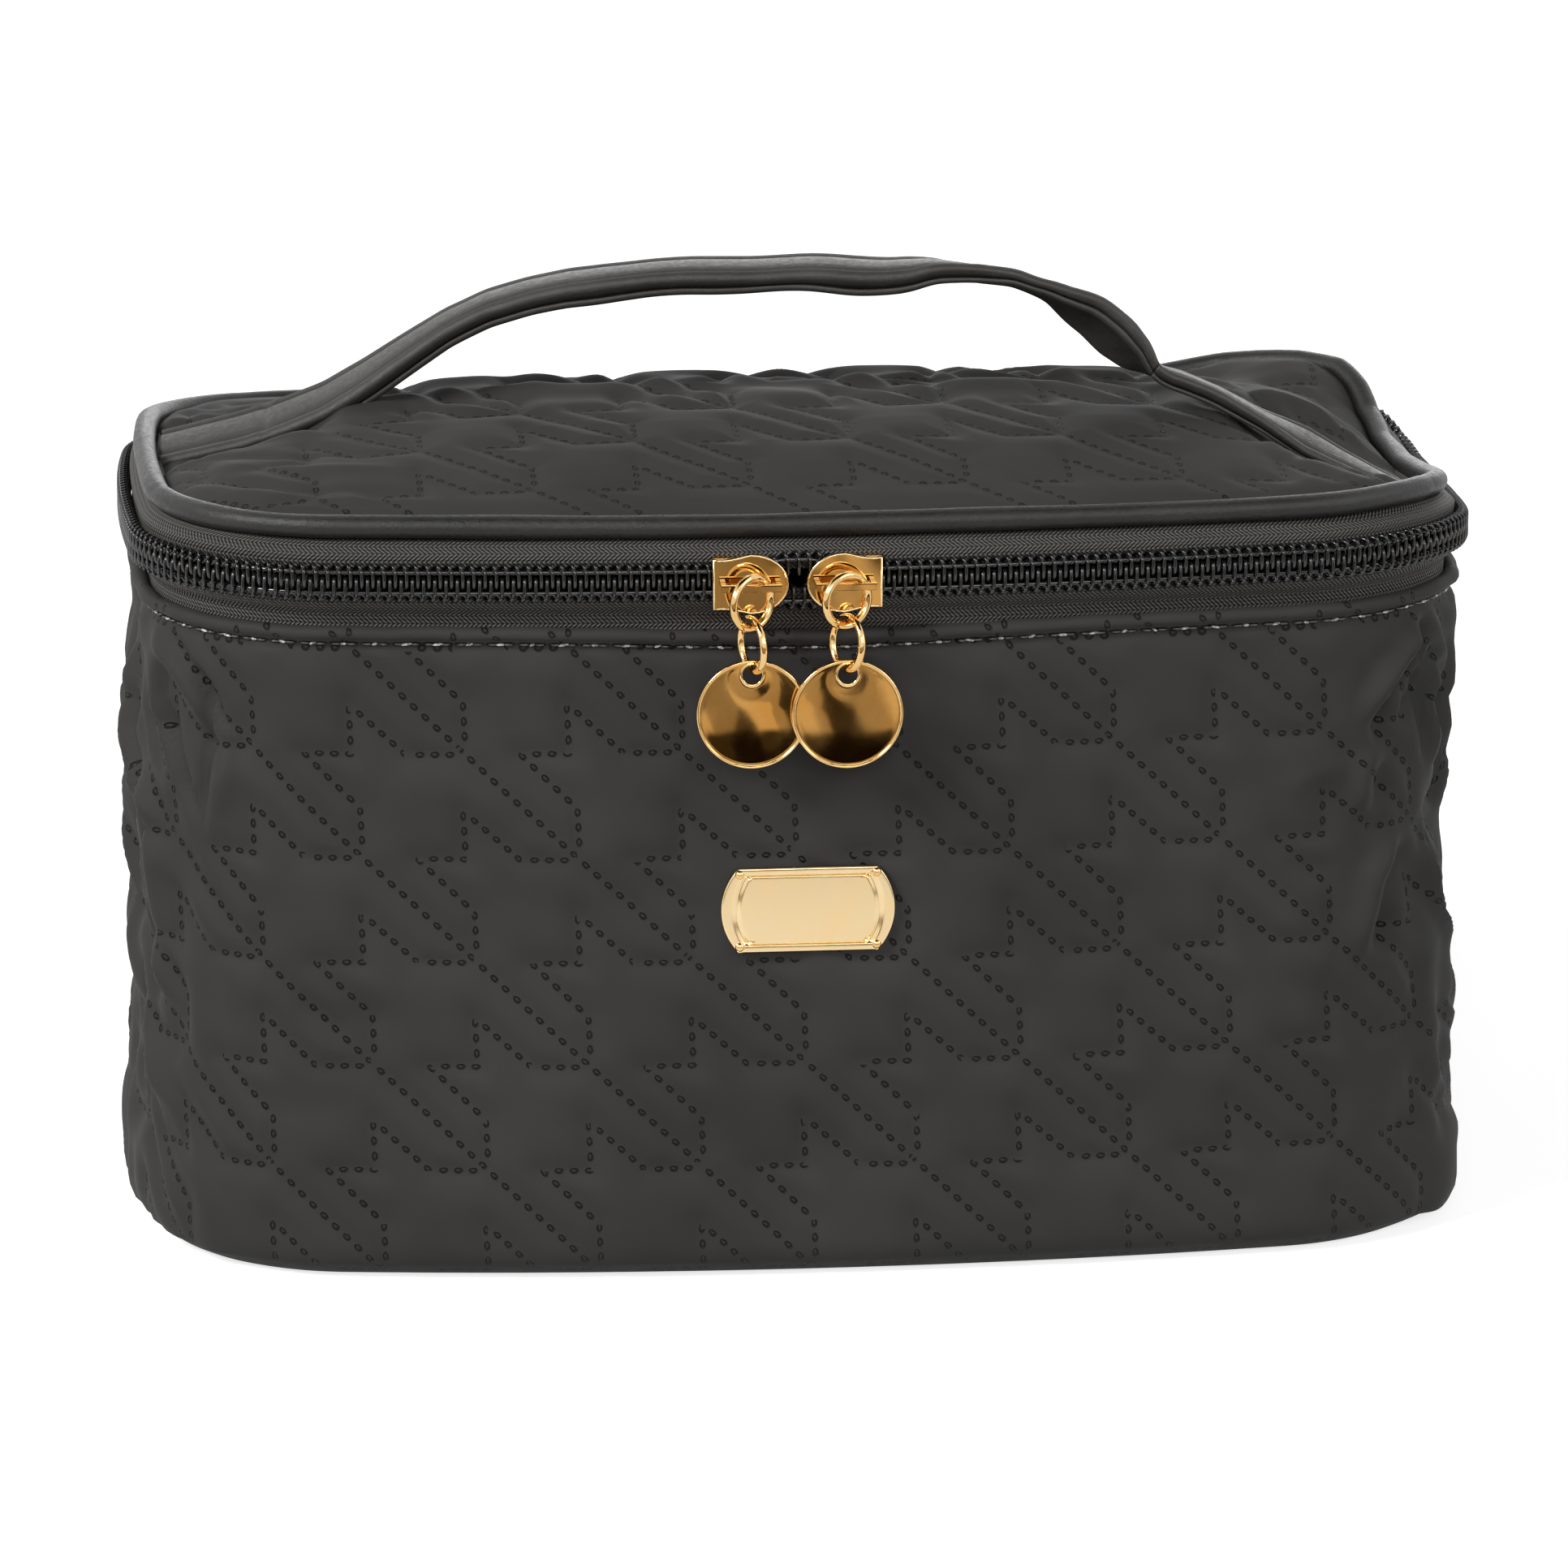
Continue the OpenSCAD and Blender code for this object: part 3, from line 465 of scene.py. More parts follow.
def matt_faux_leather(name, imprints):
    """Matt black-grey coated cloth with a fine grain, soft patches and, where quilted, imprints.

    The eye gets a flat charcoal that is a little warmer and lighter in broad patches,
    a dry soft highlight on folds, and small dark rings with a raised middle.
    """
    material, tree, shader = finish(name, 0.70, Specular_IOR_Level=0.24)
    where = node(tree, "TexCoord", out="Object")
    patches = node(tree, "TexNoise",
                   {"Vector": where, "Scale": per_mm(42.0), "Detail": 3.0, "Roughness": 0.55})
    colour = node(tree, "ValToRGB", [patches], stops=[(0.32, "#343332"), (0.68, "#3d3b3a")])
    normal = faux_leather_grain(tree, where)
    if imprints:
        colour, normal, rough = weld_imprints(tree, colour, normal)
        feed(tree, shader, Roughness=rough)
    feed(tree, shader, Base_Color=colour, Normal=normal)
    return material


def satin_leather(name, dark, light, smooth_part, rough_part):
    """Smoother coated leather on the piping and the strap, made in two copies: a darker one for
    the piping as painted shade and a lighter one for the strap as painted light.

    The eye gets a slightly lighter charcoal, a satin highlight broken by tiny
    creases across the fold, and a faint warm sparkle.
    """
    material, tree, shader = finish(name, 0.42, Specular_IOR_Level=0.42)
    where = node(tree, "TexCoord", out="Object")
    patches = node(tree, "TexNoise",
                   {"Vector": where, "Scale": per_mm(14.0), "Detail": 4.0, "Roughness": 0.6})
    worn = node(tree, "TexNoise",
                {"Vector": where, "Scale": per_mm(1.1), "Detail": 5.0, "Roughness": 0.7})
    creases = node(tree, "TexNoise",
                   {"Vector": where, "Scale": per_mm(0.8), "Detail": 5.0, "Roughness": 0.72})
    slow = node(tree, "TexNoise",
                {"Vector": where, "Scale": per_mm(7.0), "Detail": 2.0, "Roughness": 0.5})
    fine = node(tree, "Bump", {"Height": creases, "Distance": 0.16 * MM, "Strength": 0.9})
    feed(tree, shader,
         Base_Color=node(tree, "ValToRGB", [patches], stops=[(0.3, dark), (0.7, light)]),
         Roughness=node(tree, "MapRange", [worn, 0.35, 0.65, smooth_part, rough_part]),
         Normal=node(tree, "Bump", {"Height": slow, "Distance": 0.25 * MM, "Strength": 0.5,
                                    "Normal": fine}))
    return material


def polyester_twill():
    """Near-black zip tape: a herringbone of slanted yarns 0.85 mm apart, turning each 1.6 mm.

    Drawn coarser than the real weave, so that it shows. The eye gets rows of tiny
    slanted ribs that change direction, with a faint grey glint on each yarn, which is a painted
    highlight: the crest of each rib is painted grey on the near-black yarn.
    """
    material, tree, shader = finish("polyester_twill_tape", 0.58)
    thread = node(tree, "UVMap", uv_map="thread")
    along, across, _ = node(tree, "SeparateXYZ", [thread], None)
    zigzag = node(tree, "Math", [across, 1.6], operation="PINGPONG")
    slant = node(tree, "Math", [along, zigzag], operation="ADD")
    rib_turn = node(tree, "Math", [slant, 2 * np.pi / 0.85], operation="MULTIPLY")
    rib = node(tree, "Math", [rib_turn], operation="SINE")
    weft_turn = node(tree, "Math", [across, 2 * np.pi / 0.70], operation="MULTIPLY")
    weft = node(tree, "Math", [weft_turn], operation="SINE")
    both = node(tree, "Math", [weft, 0.45, rib], operation="MULTIPLY_ADD")
    weave = node(tree, "Math", [both, 0.33, 0.5], operation="MULTIPLY_ADD")
    # The crest of each rib is painted grey as a highlight; the yarn itself is near black.
    feed(tree, shader,
         Base_Color=node(tree, "ValToRGB", [weave], stops=[(0.36, "#0c0c0b"), (0.98, "#7c7872")]),
         Normal=node(tree, "Bump", {"Height": weave, "Distance": 0.36 * MM, "Strength": 1.0}))
    return material


def woven_lining():
    """Black polyester lining: a dull plain weave with yarns 0.42 mm apart, uneven in patches."""
    material, tree, shader = finish("woven_polyester_lining", 0.62, Specular_IOR_Level=0.3)
    where = node(tree, "TexCoord", out="Object")
    x, y, z = node(tree, "SeparateXYZ", [where], None)
    waves = []
    for operation, first, second in (("ADD", x, y), ("SUBTRACT", z, x)):
        place = node(tree, "Math", [first, second], operation=operation)
        turn = node(tree, "Math", [place, 2 * np.pi * per_mm(0.42)], operation="MULTIPLY")
        waves.append(node(tree, "Math", [turn], operation="SINE"))
    crossed = node(tree, "Math", waves, operation="MULTIPLY")
    weave = node(tree, "Math", [crossed, 0.5, 0.5], operation="MULTIPLY_ADD")
    patches = node(tree, "TexNoise",
                   {"Vector": where, "Scale": per_mm(25.0), "Detail": 3.0, "Roughness": 0.5})
    feed(tree, shader,
         Base_Color=node(tree, "ValToRGB", [patches], stops=[(0.3, "#1b1b1c"), (0.7, "#262627")]),
         Normal=node(tree, "Bump", {"Height": weave, "Distance": 0.06 * MM, "Strength": 0.7}))
    return material


def nylon_coil():
    """Glossy black nylon monofilament: sharp small highlights on each turn."""
    material, tree, shader = finish("nylon_monofilament", 0.14, Specular_IOR_Level=0.75)
    where = node(tree, "TexCoord", out="Object")
    tint = node(tree, "TexNoise",
                {"Vector": where, "Scale": per_mm(3.0), "Detail": 2.0, "Roughness": 0.5})
    worn = node(tree, "TexNoise",
                {"Vector": where, "Scale": per_mm(1.5), "Detail": 3.0, "Roughness": 0.5})
    feed(tree, shader,
         Base_Color=node(tree, "ValToRGB", [tint], stops=[(0.3, "#0e0e0f"), (0.7, "#1a1a1b")]),
         Roughness=node(tree, "MapRange", [worn, 0.3, 0.7, 0.09, 0.20]))
    return material


def sewing_thread(name, roughness, twist, stops, depth, **constants):
    """Sewing thread whose tone changes in small random spots, from dark yarn to a paler tone: on
    the hem's threads the paler tone is a painted glint, on the coil's yarn its own uneven tone.

    twist is (size in mm, detail) of the pattern and depth is (mm, strength) of its relief.
    """
    material, tree, shader = finish(name, roughness, **constants)
    where = node(tree, "TexCoord", out="Object")
    tone = node(tree, "TexNoise",
                {"Vector": where, "Scale": per_mm(twist[0]), "Detail": twist[1], "Roughness": 0.7})
    feed(tree, shader,
         Base_Color=node(tree, "ValToRGB", [tone], stops=stops),
         Normal=node(tree, "Bump", {"Height": tone, "Distance": depth[0] * MM,
                                    "Strength": depth[1]}))
    return material


def plated_metal(name, dark, light, roughness, smudge):
    """Polished plating with faint smudges and very shallow unevenness.

    The eye gets a bright mirror that is a little duller in patches.
    """
    material, tree, shader = finish(name, roughness, 1.0)
    where = node(tree, "TexCoord", out="Object")
    patches = node(tree, "TexNoise",
                   {"Vector": where, "Scale": per_mm(7.0), "Detail": 4.0, "Roughness": 0.6})
    uneven = node(tree, "TexNoise",
                  {"Vector": where, "Scale": per_mm(9.0), "Detail": 1.0, "Roughness": 0.5})
    feed(tree, shader,
         Base_Color=node(tree, "ValToRGB", [patches], stops=[(0.3, dark), (0.7, light)]),
         Roughness=node(tree, "MapRange", [patches, 0.3, 0.7, roughness, roughness + smudge]),
         Normal=node(tree, "Bump", {"Height": uneven, "Distance": 0.02 * MM, "Strength": 0.3}))
    return material


def pressed_board():
    """Grey pressed board with short fibres in it."""
    material, tree, shader = finish("pressed_fibre_board", 0.9)
    where = node(tree, "TexCoord", out="Object")
    fibres = node(tree, "TexNoise",
                  {"Vector": where, "Scale": per_mm(1.8), "Detail": 6.0, "Roughness": 0.75})
    feed(tree, shader,
         Base_Color=node(tree, "ValToRGB", [fibres], stops=[(0.3, "#6a665f"), (0.7, "#8b867c")]),
         Normal=node(tree, "Bump", {"Height": fibres, "Distance": 0.1 * MM, "Strength": 1.0}))
    return material


def washer_steel():
    """Zinc-plated sheet steel with a faint brushed grain."""
    material, tree, shader = finish("zinc_plated_steel", 0.35, 1.0)
    where = node(tree, "TexCoord", out="Object")
    grain = node(tree, "TexNoise",
                 {"Vector": where, "Scale": per_mm(0.8), "Detail": 5.0, "Roughness": 0.7})
    feed(tree, shader,
         Base_Color=node(tree, "ValToRGB", [grain], stops=[(0.3, "#a5a7aa"), (0.7, "#c3c5c8")]),
         Roughness=node(tree, "MapRange", [grain, 0.3, 0.7, 0.3, 0.45]))
    return material


LEATHER = matt_faux_leather("matt_faux_leather", False)
QUILTED = matt_faux_leather("quilted_matt_faux_leather", True)
# The piping and the strap are one leather: the piping's copy is painted darker as shade on its
# lower side, and the strap's copy is painted lighter as light falling on its top.
PIPING_PAINTED_DARKER = satin_leather("satin_piping_leather_painted_darker", "#1d1c1b", "#2a2827", 0.27, 0.46)
STRAP_PAINTED_LIGHTER = satin_leather("satin_strap_leather_painted_lighter", "#32302e", "#42403d", 0.34, 0.52)
TWILL = polyester_twill()
LINING = woven_lining()
COIL = nylon_coil()
# Bonded thread under the hem: dark, with paler spots at random along it, painted in as glints.
THREAD = sewing_thread("bonded_sewing_thread", 0.28, (0.9, 3.0),
                       [(0.50, "#161514"), (0.70, "#5c5852")], (0.1, 0.8), Specular_IOR_Level=0.9)
# Dull black yarn that holds the coil to its tape.
TAPE_THREAD = sewing_thread("dull_black_yarn", 0.5, (0.5, 3.0),
                            [(0.3, "#151514"), (0.7, "#343332")], (0.08, 1.0))
# Painted highlights on the topstitching: pale grey to near white and shiny, put where the thread
# glints.
GLINT_PAINTED_THREAD = sewing_thread("painted_glint_thread", 0.3, (0.6, 2.0),
                            [(0.40, "#8a8680"), (0.56, "#f2efe8")], (0.08, 1.0))
GOLD = plated_metal("polished_gold_plate", "#e2b774", "#f3d095", 0.022, 0.035)
# Pale gold: the name plate's own colour, and on the sliders' edge beads a paler copy of the
# sliders' gold, painted lighter as a highlight.
PALE_GOLD_AND_EDGE_HIGHLIGHT = plated_metal("pale_gold_plate_and_painted_edge_highlight", "#efd09b", "#f8dfb2", 0.12, 0.08)
BOARD = pressed_board()
STEEL = washer_steel()


# ---------------------------------------------------------------------------
# Quilting: a houndstooth of weld imprints on a lattice of 39.1 x 19.5 mm
# ---------------------------------------------------------------------------
# From a junction, in units of a quarter of the lattice, y down: first point,
# last point, the first imprint's share of the length, and the imprints' step.
TOOTH_LINES = np.array([
    [0, -.97, 0, 0, .07, .29],
    [-1, -2, 0, -.97, .04, .20],
    [-1, -2, -.1, -2, .34, .315],
    [-.1, -2, -.1, -2.95, .27, .31],
    [-.1, -2.95, .9, -2, .20, .193],
    [.9, -2, 2, -2, .24, .25],
    [0, 0, 2, 2, .05, .10],
])
TOOTH_COUNT = np.array([3, 5, 3, 3, 5, 3, 10])
UNIT_X, UNIT_Y = 9.775, 9.75
# A place on the cloth map this far across a line shows no imprint.
ASIDE = 50.0


def nearest_line(x, y):
    """For each point in lattice units, the nearest quilting line.

    Returns the distance in mm, and the line's first point and its row in TOOTH_LINES.
    """
    col = np.floor((x - y) / 4)
    row = np.floor(y / 2)
    best = np.full(x.shape, 1e9)
    first = np.zeros(x.shape + (2,))
    kind = np.zeros(x.shape, int)
    for dr in (-1, 0, 1, 2, 3):
        for dc in (-1, 0, 1, 2):
            jx, jy = 4 * (col + dc) + 2 * (row + dr), 2 * (row + dr)
            for k, (ax, ay, bx, by, _, _) in enumerate(TOOTH_LINES):
                px, py = (x - jx - ax) * UNIT_X, (y - jy - ay) * UNIT_Y
                dx, dy = (bx - ax) * UNIT_X, (by - ay) * UNIT_Y
                t = np.clip((px * dx + py * dy) / (dx * dx + dy * dy), 0, 1)
                d = np.hypot(px - t * dx, py - t * dy)
                nearer = d < best
                best = np.where(nearer, d, best)
                kind = np.where(nearer, k, kind)
                first = np.where(nearer[..., None], np.stack([jx + ax, jy + ay], -1), first)
    return best, first, kind


def imprint_uv(x, y, quads):
    """Cloth map of each quad's corners, on its nearest line: imprints along it and mm across it.

    A quad that lies past the line's first or last imprint is put aside.
    """
    cx, cy = x.ravel()[quads], y.ravel()[quads]
    mx, my = cx.mean(1), cy.mean(1)
    _, first, kind = nearest_line(mx, my)
    mx, my, first, kind = mx[:, None], my[:, None], first[:, None], kind[:, None]
    line = TOOTH_LINES[kind]
    dx, dy = (line[..., 2] - line[..., 0]) * UNIT_X, (line[..., 3] - line[..., 1]) * UNIT_Y
    length = np.hypot(dx, dy)

    def on_line(px, py):
        ax, ay = (px - first[..., 0]) * UNIT_X, (py - first[..., 1]) * UNIT_Y
        share = (ax * dx + ay * dy) / length**2
        return (share - line[..., 4]) / line[..., 5], (ax * dy - ay * dx) / length

    along, across = on_line(cx, cy)
    middle, _ = on_line(mx, my)
    outside = (middle < -0.5) | (middle > TOOTH_COUNT[kind] - 0.5)
    return np.stack([along, np.where(outside, ASIDE, across)], -1)


def quilt_map(x, y, quads, first_row, last_row):
    """The cloth map of a quilted grid, where only quads between two rows carry imprints.

    A quad that closes the ring carries none, because its places are far apart.
    """
    columns = x.shape[1]
    row, column = quads // columns, quads % columns
    marked = (row.min(1) >= first_row) & (row.max(1) <= last_row)
    marked &= column.max(1) - column.min(1) < 3
    places = np.full(quads.shape + (2,), ASIDE)
    places[marked] = imprint_uv(x, y, quads[marked])
    return places


def fold(a, b, height, width, points):
    """A soft ridge, or a crease where height is less than 0, along a line of points.

    Height falls as exp(-(distance / width) squared) and fades towards both ends.
    """
    points = np.array(points, float)
    reach = profile_length(points)
    best, share = np.full(a.shape, 1e9), np.zeros(a.shape)
    for i in range(len(points) - 1):
        p, d = points[i], points[i + 1] - points[i]
        t = np.clip(((a - p[0]) * d[0] + (b - p[1]) * d[1]) / (d @ d), 0, 1)
        far = np.hypot(a - p[0] - t * d[0], b - p[1] - t * d[1])
        share = np.where(far < best, (reach[i] + t * (reach[i + 1] - reach[i])) / reach[-1], share)
        best = np.minimum(best, far)
    fade = np.clip(4.2 * share * (1 - share) + 0.18, 0, 1)
    return height * fade * np.exp(-(best / width) ** 2)


def folds_of(a, b, folds):
    """Sum of a list of folds, each [height, width, points], at the places a, b."""
    return sum(fold(a, b, *one) for one in folds)


# Folds of the wall: [height, width, points along the wall and up it].
WALL_FOLDS = [
    [1.3, 2.6, [(-128.9, 120), (-126.2, 116.5), (-119.2, 111.5), (-112.4, 103.5),
                (-112.6, 98.5)]],
    [-1.5, 1.3, [(-126.5, 112), (-127.7, 104.5), (-125.8, 100), (-121.6, 94.5), (-118.9, 90),
                 (-115.8, 85.5), (-114, 81)]],
    [1.0, 3.0, [(-129.5, 106), (-129, 100), (-125, 93), (-121, 87)]],
    [-1.3, 1.2, [(-113.1, 109), (-112.6, 103.5), (-113.1, 99), (-113.6, 92.5), (-114.3, 83.5)]],
    [1.1, 2.4, [(-109.6, 108), (-108.8, 101), (-109, 94), (-110.5, 86)]],
    [-1.1, 1.2, [(-115.5, 114), (-111.2, 105.5), (-107.8, 101)]],
    [1.5, 2.4, [(-154.4, 110), (-150.1, 92.5), (-142, 86), (-131, 84), (-128.5, 74),
                (-129.2, 65.5), (-127.9, 55), (-126, 45)]],
    [-1.6, 1.4, [(-150, 106), (-145, 92), (-136, 84), (-134, 72), (-134, 60), (-132, 48)]],
    [-1.2, 1.4, [(-163, 112), (-158, 96), (-150, 84), (-146, 70)]],
    [1.0, 2.2, [(-168, 100), (-160, 82), (-152, 66), (-150, 50)]],
    [-1.2, 1.5, [(-142, 50), (-140, 40), (-133, 30), (-128, 22)]],
    [1.1, 2.5, [(-137, 52), (-135, 40), (-129, 32), (-122, 27)]],
    [1.9, 2.2, [(113.5, 121), (109.2, 112), (104.6, 107.5), (101.7, 103.5), (100, 99)]],
    [-1.7, 1.7, [(116.5, 118), (112.6, 111), (107.6, 106), (104.6, 101), (103.4, 95)]],
    [1.6, 2.0, [(124.6, 108), (118.7, 100.5), (119.7, 95.5), (120.4, 88)]],
    [-1.5, 1.5, [(121, 110), (115.6, 101), (116.4, 95), (117, 90)]],
    [-1.4, 1.2, [(114.6, 116.5), (117, 109), (114.3, 103.5), (110, 99)]],
    [1.2, 2.6, [(101.9, 95), (99.8, 89), (98.3, 82)]],
    [-0.9, 2.0, [(106, 93), (104.6, 88), (103.4, 82)]],
    [1.7, 2.6, [(108, 77.5), (104.9, 73.5), (102.4, 70.5), (101.2, 64.5), (99.2, 55)]],
    [-1.6, 2.4, [(112, 76), (108.5, 71), (106.4, 64), (104.5, 54)]],
    [-0.9, 3.2, [(76, 67), (80, 60), (84.7, 53), (91, 46)]],
    [0.7, 3.6, [(84, 68), (88, 60), (93, 53)]],
    [0.6, 2.4, [(84, 89), (88.8, 90.5), (96, 92.5)]],
    [-0.5, 2.6, [(84, 74), (89.5, 73), (96.1, 74.6)]],
    [1.7, 1.9, [(118.7, 77), (119.9, 69), (119.4, 65), (123.1, 60), (129.5, 53)]],
    [-1.6, 1.6, [(122.8, 78), (123.6, 69), (124, 64), (128.4, 58)]],
    [-1.2, 1.5, [(131, 104), (128, 96), (127, 88), (131, 80)]],
    [1.2, 2.4, [(136, 108), (132, 98), (132, 86), (137, 76)]],
    [-1.2, 1.6, [(140, 70), (137, 60), (138, 48), (143, 38)]],
    [0.9, 2.6, [(118, 40), (121, 30), (120, 18)]],
    [-0.8, 3.4, [(-96, 52), (-88, 49), (-78, 50)]],
    [-0.6, 4.0, [(-104, 36), (-92, 33), (-80, 36)]],
    [0.6, 5.0, [(-80, 96), (-66, 90), (-52, 92)]],
    [-0.5, 5.0, [(-60, 74), (-40, 70), (-24, 74)]],
    [0.5, 6.0, [(30, 40), (48, 36), (66, 42)]],
    [-0.5, 6.0, [(-30, 28), (-8, 24), (14, 28)]],
]


def wall_bulge(u, z):
    """How far the wall's face stands out from its plain bow, before the quilting.

    The sum of a swell at each front corner, one low down, slow waves all round,
    crumples at both ends and a slight ruck at the back.
    """
    left = table(z, [(0, 2.4), (23, 1.4), (38, .9), (55, 1.6), (70, 1.1), (86, 1.5),
                     (101, 1.2), (111, -.6), (117, .2), (124, 0)])
    right = table(z, [(0, 1.8), (12, 1.3), (28, .8), (43, .3), (60, -.8), (75, -2.4),
                      (91, -2.0), (106, -.5), (119, -.2), (124, 0)])
    left *= smooth(-205, -186, u) * (1 - smooth(-160, -132, u))
    right *= smooth(112, 126, u) * (1 - smooth(176, 205, u))
    low = 1.5 * (1 - smooth(6, 34, z))
    calm = smooth(0, 20, z) * (1 - smooth(112, 122, z))
    slow = ripple(u, z * 1.4, 7, 9, 62.0) * 1.6 * calm
    around = np.abs(u)
    ends = 1 - smooth(100, 116, around) + smooth(262, 300, around)
    low *= 0.55 + 0.45 * (1 - ends)
    crumple = ripple(u * 1.6, z * 0.75, 21, 10, 15.0) * 1.5 * calm * (1 - ends)
    back = np.maximum(0, around - 250) / 90
    ruck = 0.5 * ripple(u, z, 31, 8, 24.0) * calm * np.minimum(back, 1)
    return left + right + low + slow + crumple + ruck


def hem_droop(u):
    """How far the hem hangs down along the front and round its corners, most below the pulls."""
    around = np.abs(u)
    return 2.3 * (1 - smooth(135, 200, around)) + 1.2 * np.exp(-(u / 34.0) ** 2)


def quilted_wall():
    """The wall's cover and padding, a closed shell.

    Its outer face is the outline moved out by a profile plus the bulges, folds and quilting.
    """
    columns, edge_r, hem_r, hem_middle = 616, 6.6, 1.45, 123.8
    # The pattern's first junction, by height and place along the wall, and its columns'
    # slant. Below low_z the pattern is measured along the face, round the bend.
    origin_z, origin_u, slant, low_z = 99.2, 64.0, 0.045, 60.0
    bend = np.linspace(np.pi / 2, 0, 8)
    face = np.linspace(edge_r, 121.6, 104)[1:]
    roll = np.linspace(-0.55, np.pi * 0.94, 10)
    off = np.concatenate([[-12.0, -8.5], -edge_r + edge_r * np.cos(bend), np.zeros(len(face)),
                          0.1 + hem_r * np.cos(roll)])
    z = np.concatenate([[0.0, 0.0], edge_r - edge_r * np.sin(bend), face,
                        hem_middle + 1.42 * np.sin(roll)])
    shown = len(off)
    inner = np.array([(-1.25, 121.5), (-1.6, 112.0), (-4.0, 108.0), (-4.0, 60.0), (-4.0, 12.0),
                      (-5.0, 5.0), (-8.5, 1.2), (-12.0, 1.2)])
    off, z = np.concatenate([off, inner[:, 0]]), np.concatenate([z, inner[:, 1]])
    run = profile_length(np.stack([off, z], -1))
    pattern_z = np.where(z > low_z, z, z[20] - run[20] + run)
    pattern_z[shown:] = low_z
    droop_share = smooth(106, 121, z)[:, None]
    U, Q = np.broadcast_arrays(all_round(columns)[None, :], pattern_z[:, None])
    level = Q - hem_droop(U) * droop_share
    x = (U + origin_u - (origin_z - level) * slant) / UNIT_X
    y = (origin_z - level) / UNIT_Y
    far, _, _ = nearest_line(x[:shown], y[:shown])
    u, q = U[:shown], Q[:shown]
    # Padding between the lines, more where the ends are crumpled, then folds, the plain
    # bulges, the groove under the hem and the hem's own unevenness.
    around = np.abs(u)
    crumpled = smooth(96, 118, around) * (1 - smooth(250, 290, around))
    pad = (1.05 + 0.45 * crumpled) * (1 - np.exp(-(far / 2.6) ** 1.4)) - 0.32
    folds = folds_of(u, q, WALL_FOLDS) * (1 + 0.6 * smooth(90, 106, around))
    plain = wall_bulge(u, q)
    lift = (pad + folds) * (smooth(-4, 15, q) * (1 - smooth(119.5, 122, q)))
    lift += plain * (1 - smooth(119, 123, q)) * smooth(-8, 2, q)
    lift += -1.0 * np.exp(-((q - GROOVE_Z) / 0.7) ** 2)
    lift += 0.25 * ripple(u, q * 3, 3, 6, 11.0) * smooth(121, 122.4, q)
    slope = unit(np.gradient(np.stack([off[:shown], z[:shown]], -1), axis=0))
    full_off = np.broadcast_to(off[:, None], U.shape).copy()
    full_z = np.broadcast_to(z[:, None], U.shape).copy()
    full_off[:shown] += lift * slope[:, 1:]
    full_z[:shown] -= lift * slope[:, :1] * (z[:shown, None] > 3)
    # Where the wall caves in, its inner side follows.
    follow = table(z[shown:], [(0, 0), (12, .3), (60, .6), (110, .3), (122, 0)])
    full_off[shown:] += follow[:, None] * np.minimum(plain[shown // 2], 0)
    full_z -= hem_droop(U) * droop_share
    xy, _ = rim(U, full_off)
    points = settle(np.concatenate([xy, full_z[..., None]], -1))
    quads = grid_faces(len(off), columns, True, True)
    thread = quilt_map(x, y, quads, 0, shown - 1)
    return put_mesh("quilted_wall", points, [quads], QUILTED, [thread])


# ---------------------------------------------------------------------------
# Lid
# ---------------------------------------------------------------------------
# The middle line of the strap, which lies on the lid at both ends.
STRAP_LINE = np.array([
    (-115.6, 5.8, 140.9), (-107, 4.8, 144.0), (-100.5, 3.9, 146.1), (-93, 2.9, 148.6),
    (-85.5, 2, 151.6), (-78, 1, 156.1), (-70.5, 0, 160.7), (-63, -1, 165.0),
    (-55.6, -1.9, 168.4), (-48, -2.8, 170.7), (-40.7, -3.8, 172.4), (-33, -4.7, 173.4),
    (-25.9, -5.7, 174.1), (-18.5, -6.6, 174.6), (-11.1, -7.6, 174.9), (3.7, -9.5, 175),
    (11, -10.4, 174.8), (18.5, -11.4, 174.9), (25.9, -12.3, 175.2), (33.3, -13.3, 173.6),
    (40.7, -14.2, 172.2), (48.1, -15.2, 170.2), (55.5, -16.1, 166.4), (62.9, -17.1, 160.6),
    (67.4, -17.6, 157.0), (72, -18.2, 154.3), (77.8, -19, 151.4), (85, -19.9, 147.6),
    (92.7, -20.9, 143.9), (100, -21.9, 140.9), (107.6, -22.8, 137.6), (112.5, -23.4, 135.6)])
# How much higher the soft strap lies than its solid, at places along the case.
STRAP_LINE[:, 2] += table(STRAP_LINE[:, 0], [
    (-114, -1.2), (-107, -2.2), (-100, -2.7), (-76, -2.4), (-68, -1.6), (-60, -0.9), (0, -0.5),
    (25, -0.2), (34, 0.8), (41, 1.8), (48, 1.0), (55.5, 0), (63, -1.2), (67.4, -1.0), (72, 0.3),
    (78, 0.7), (93, 0), (100, -1.0), (108, -1.5)])
STRAP_TURN, STRAP_Y, STRAP_HALF_W = np.radians(-6), -7.0, 9.0

# Folds of the lid: [height, width, points on it].
LID_FOLDS = [
    [1.2, 2.2, [(112, -24), (98, -30), (84, -38)]],
    [-1.0, 1.6, [(111, -27), (99, -35), (88, -44)]],
    [1.0, 2.0, [(111, -19), (100, -14), (86, -10)]],
    [-1.0, 1.6, [(111, -16), (102, -8), (90, 0)]],
    [-0.8, 1.6, [(-112, -4), (-100, -10), (-84, -16)]],
    [0.9, 2.2, [(-112, -9), (-98, -16), (-80, -22)]],
    [-0.7, 1.5, [(-110, -20), (-96, -30), (-80, -34)]],
    [0.7, 2.0, [(-108, -28), (-92, -40), (-74, -44)]],
    [-0.6, 1.4, [(-106, -38), (-92, -49), (-76, -53)]],
    [0.6, 1.6, [(-102, -46), (-88, -55), (-70, -58)]],
    [0.9, 2.2, [(-112, 12), (-98, 18), (-84, 20)]],
    [-0.8, 1.6, [(-111, 16), (-98, 25), (-80, 27)]],
]


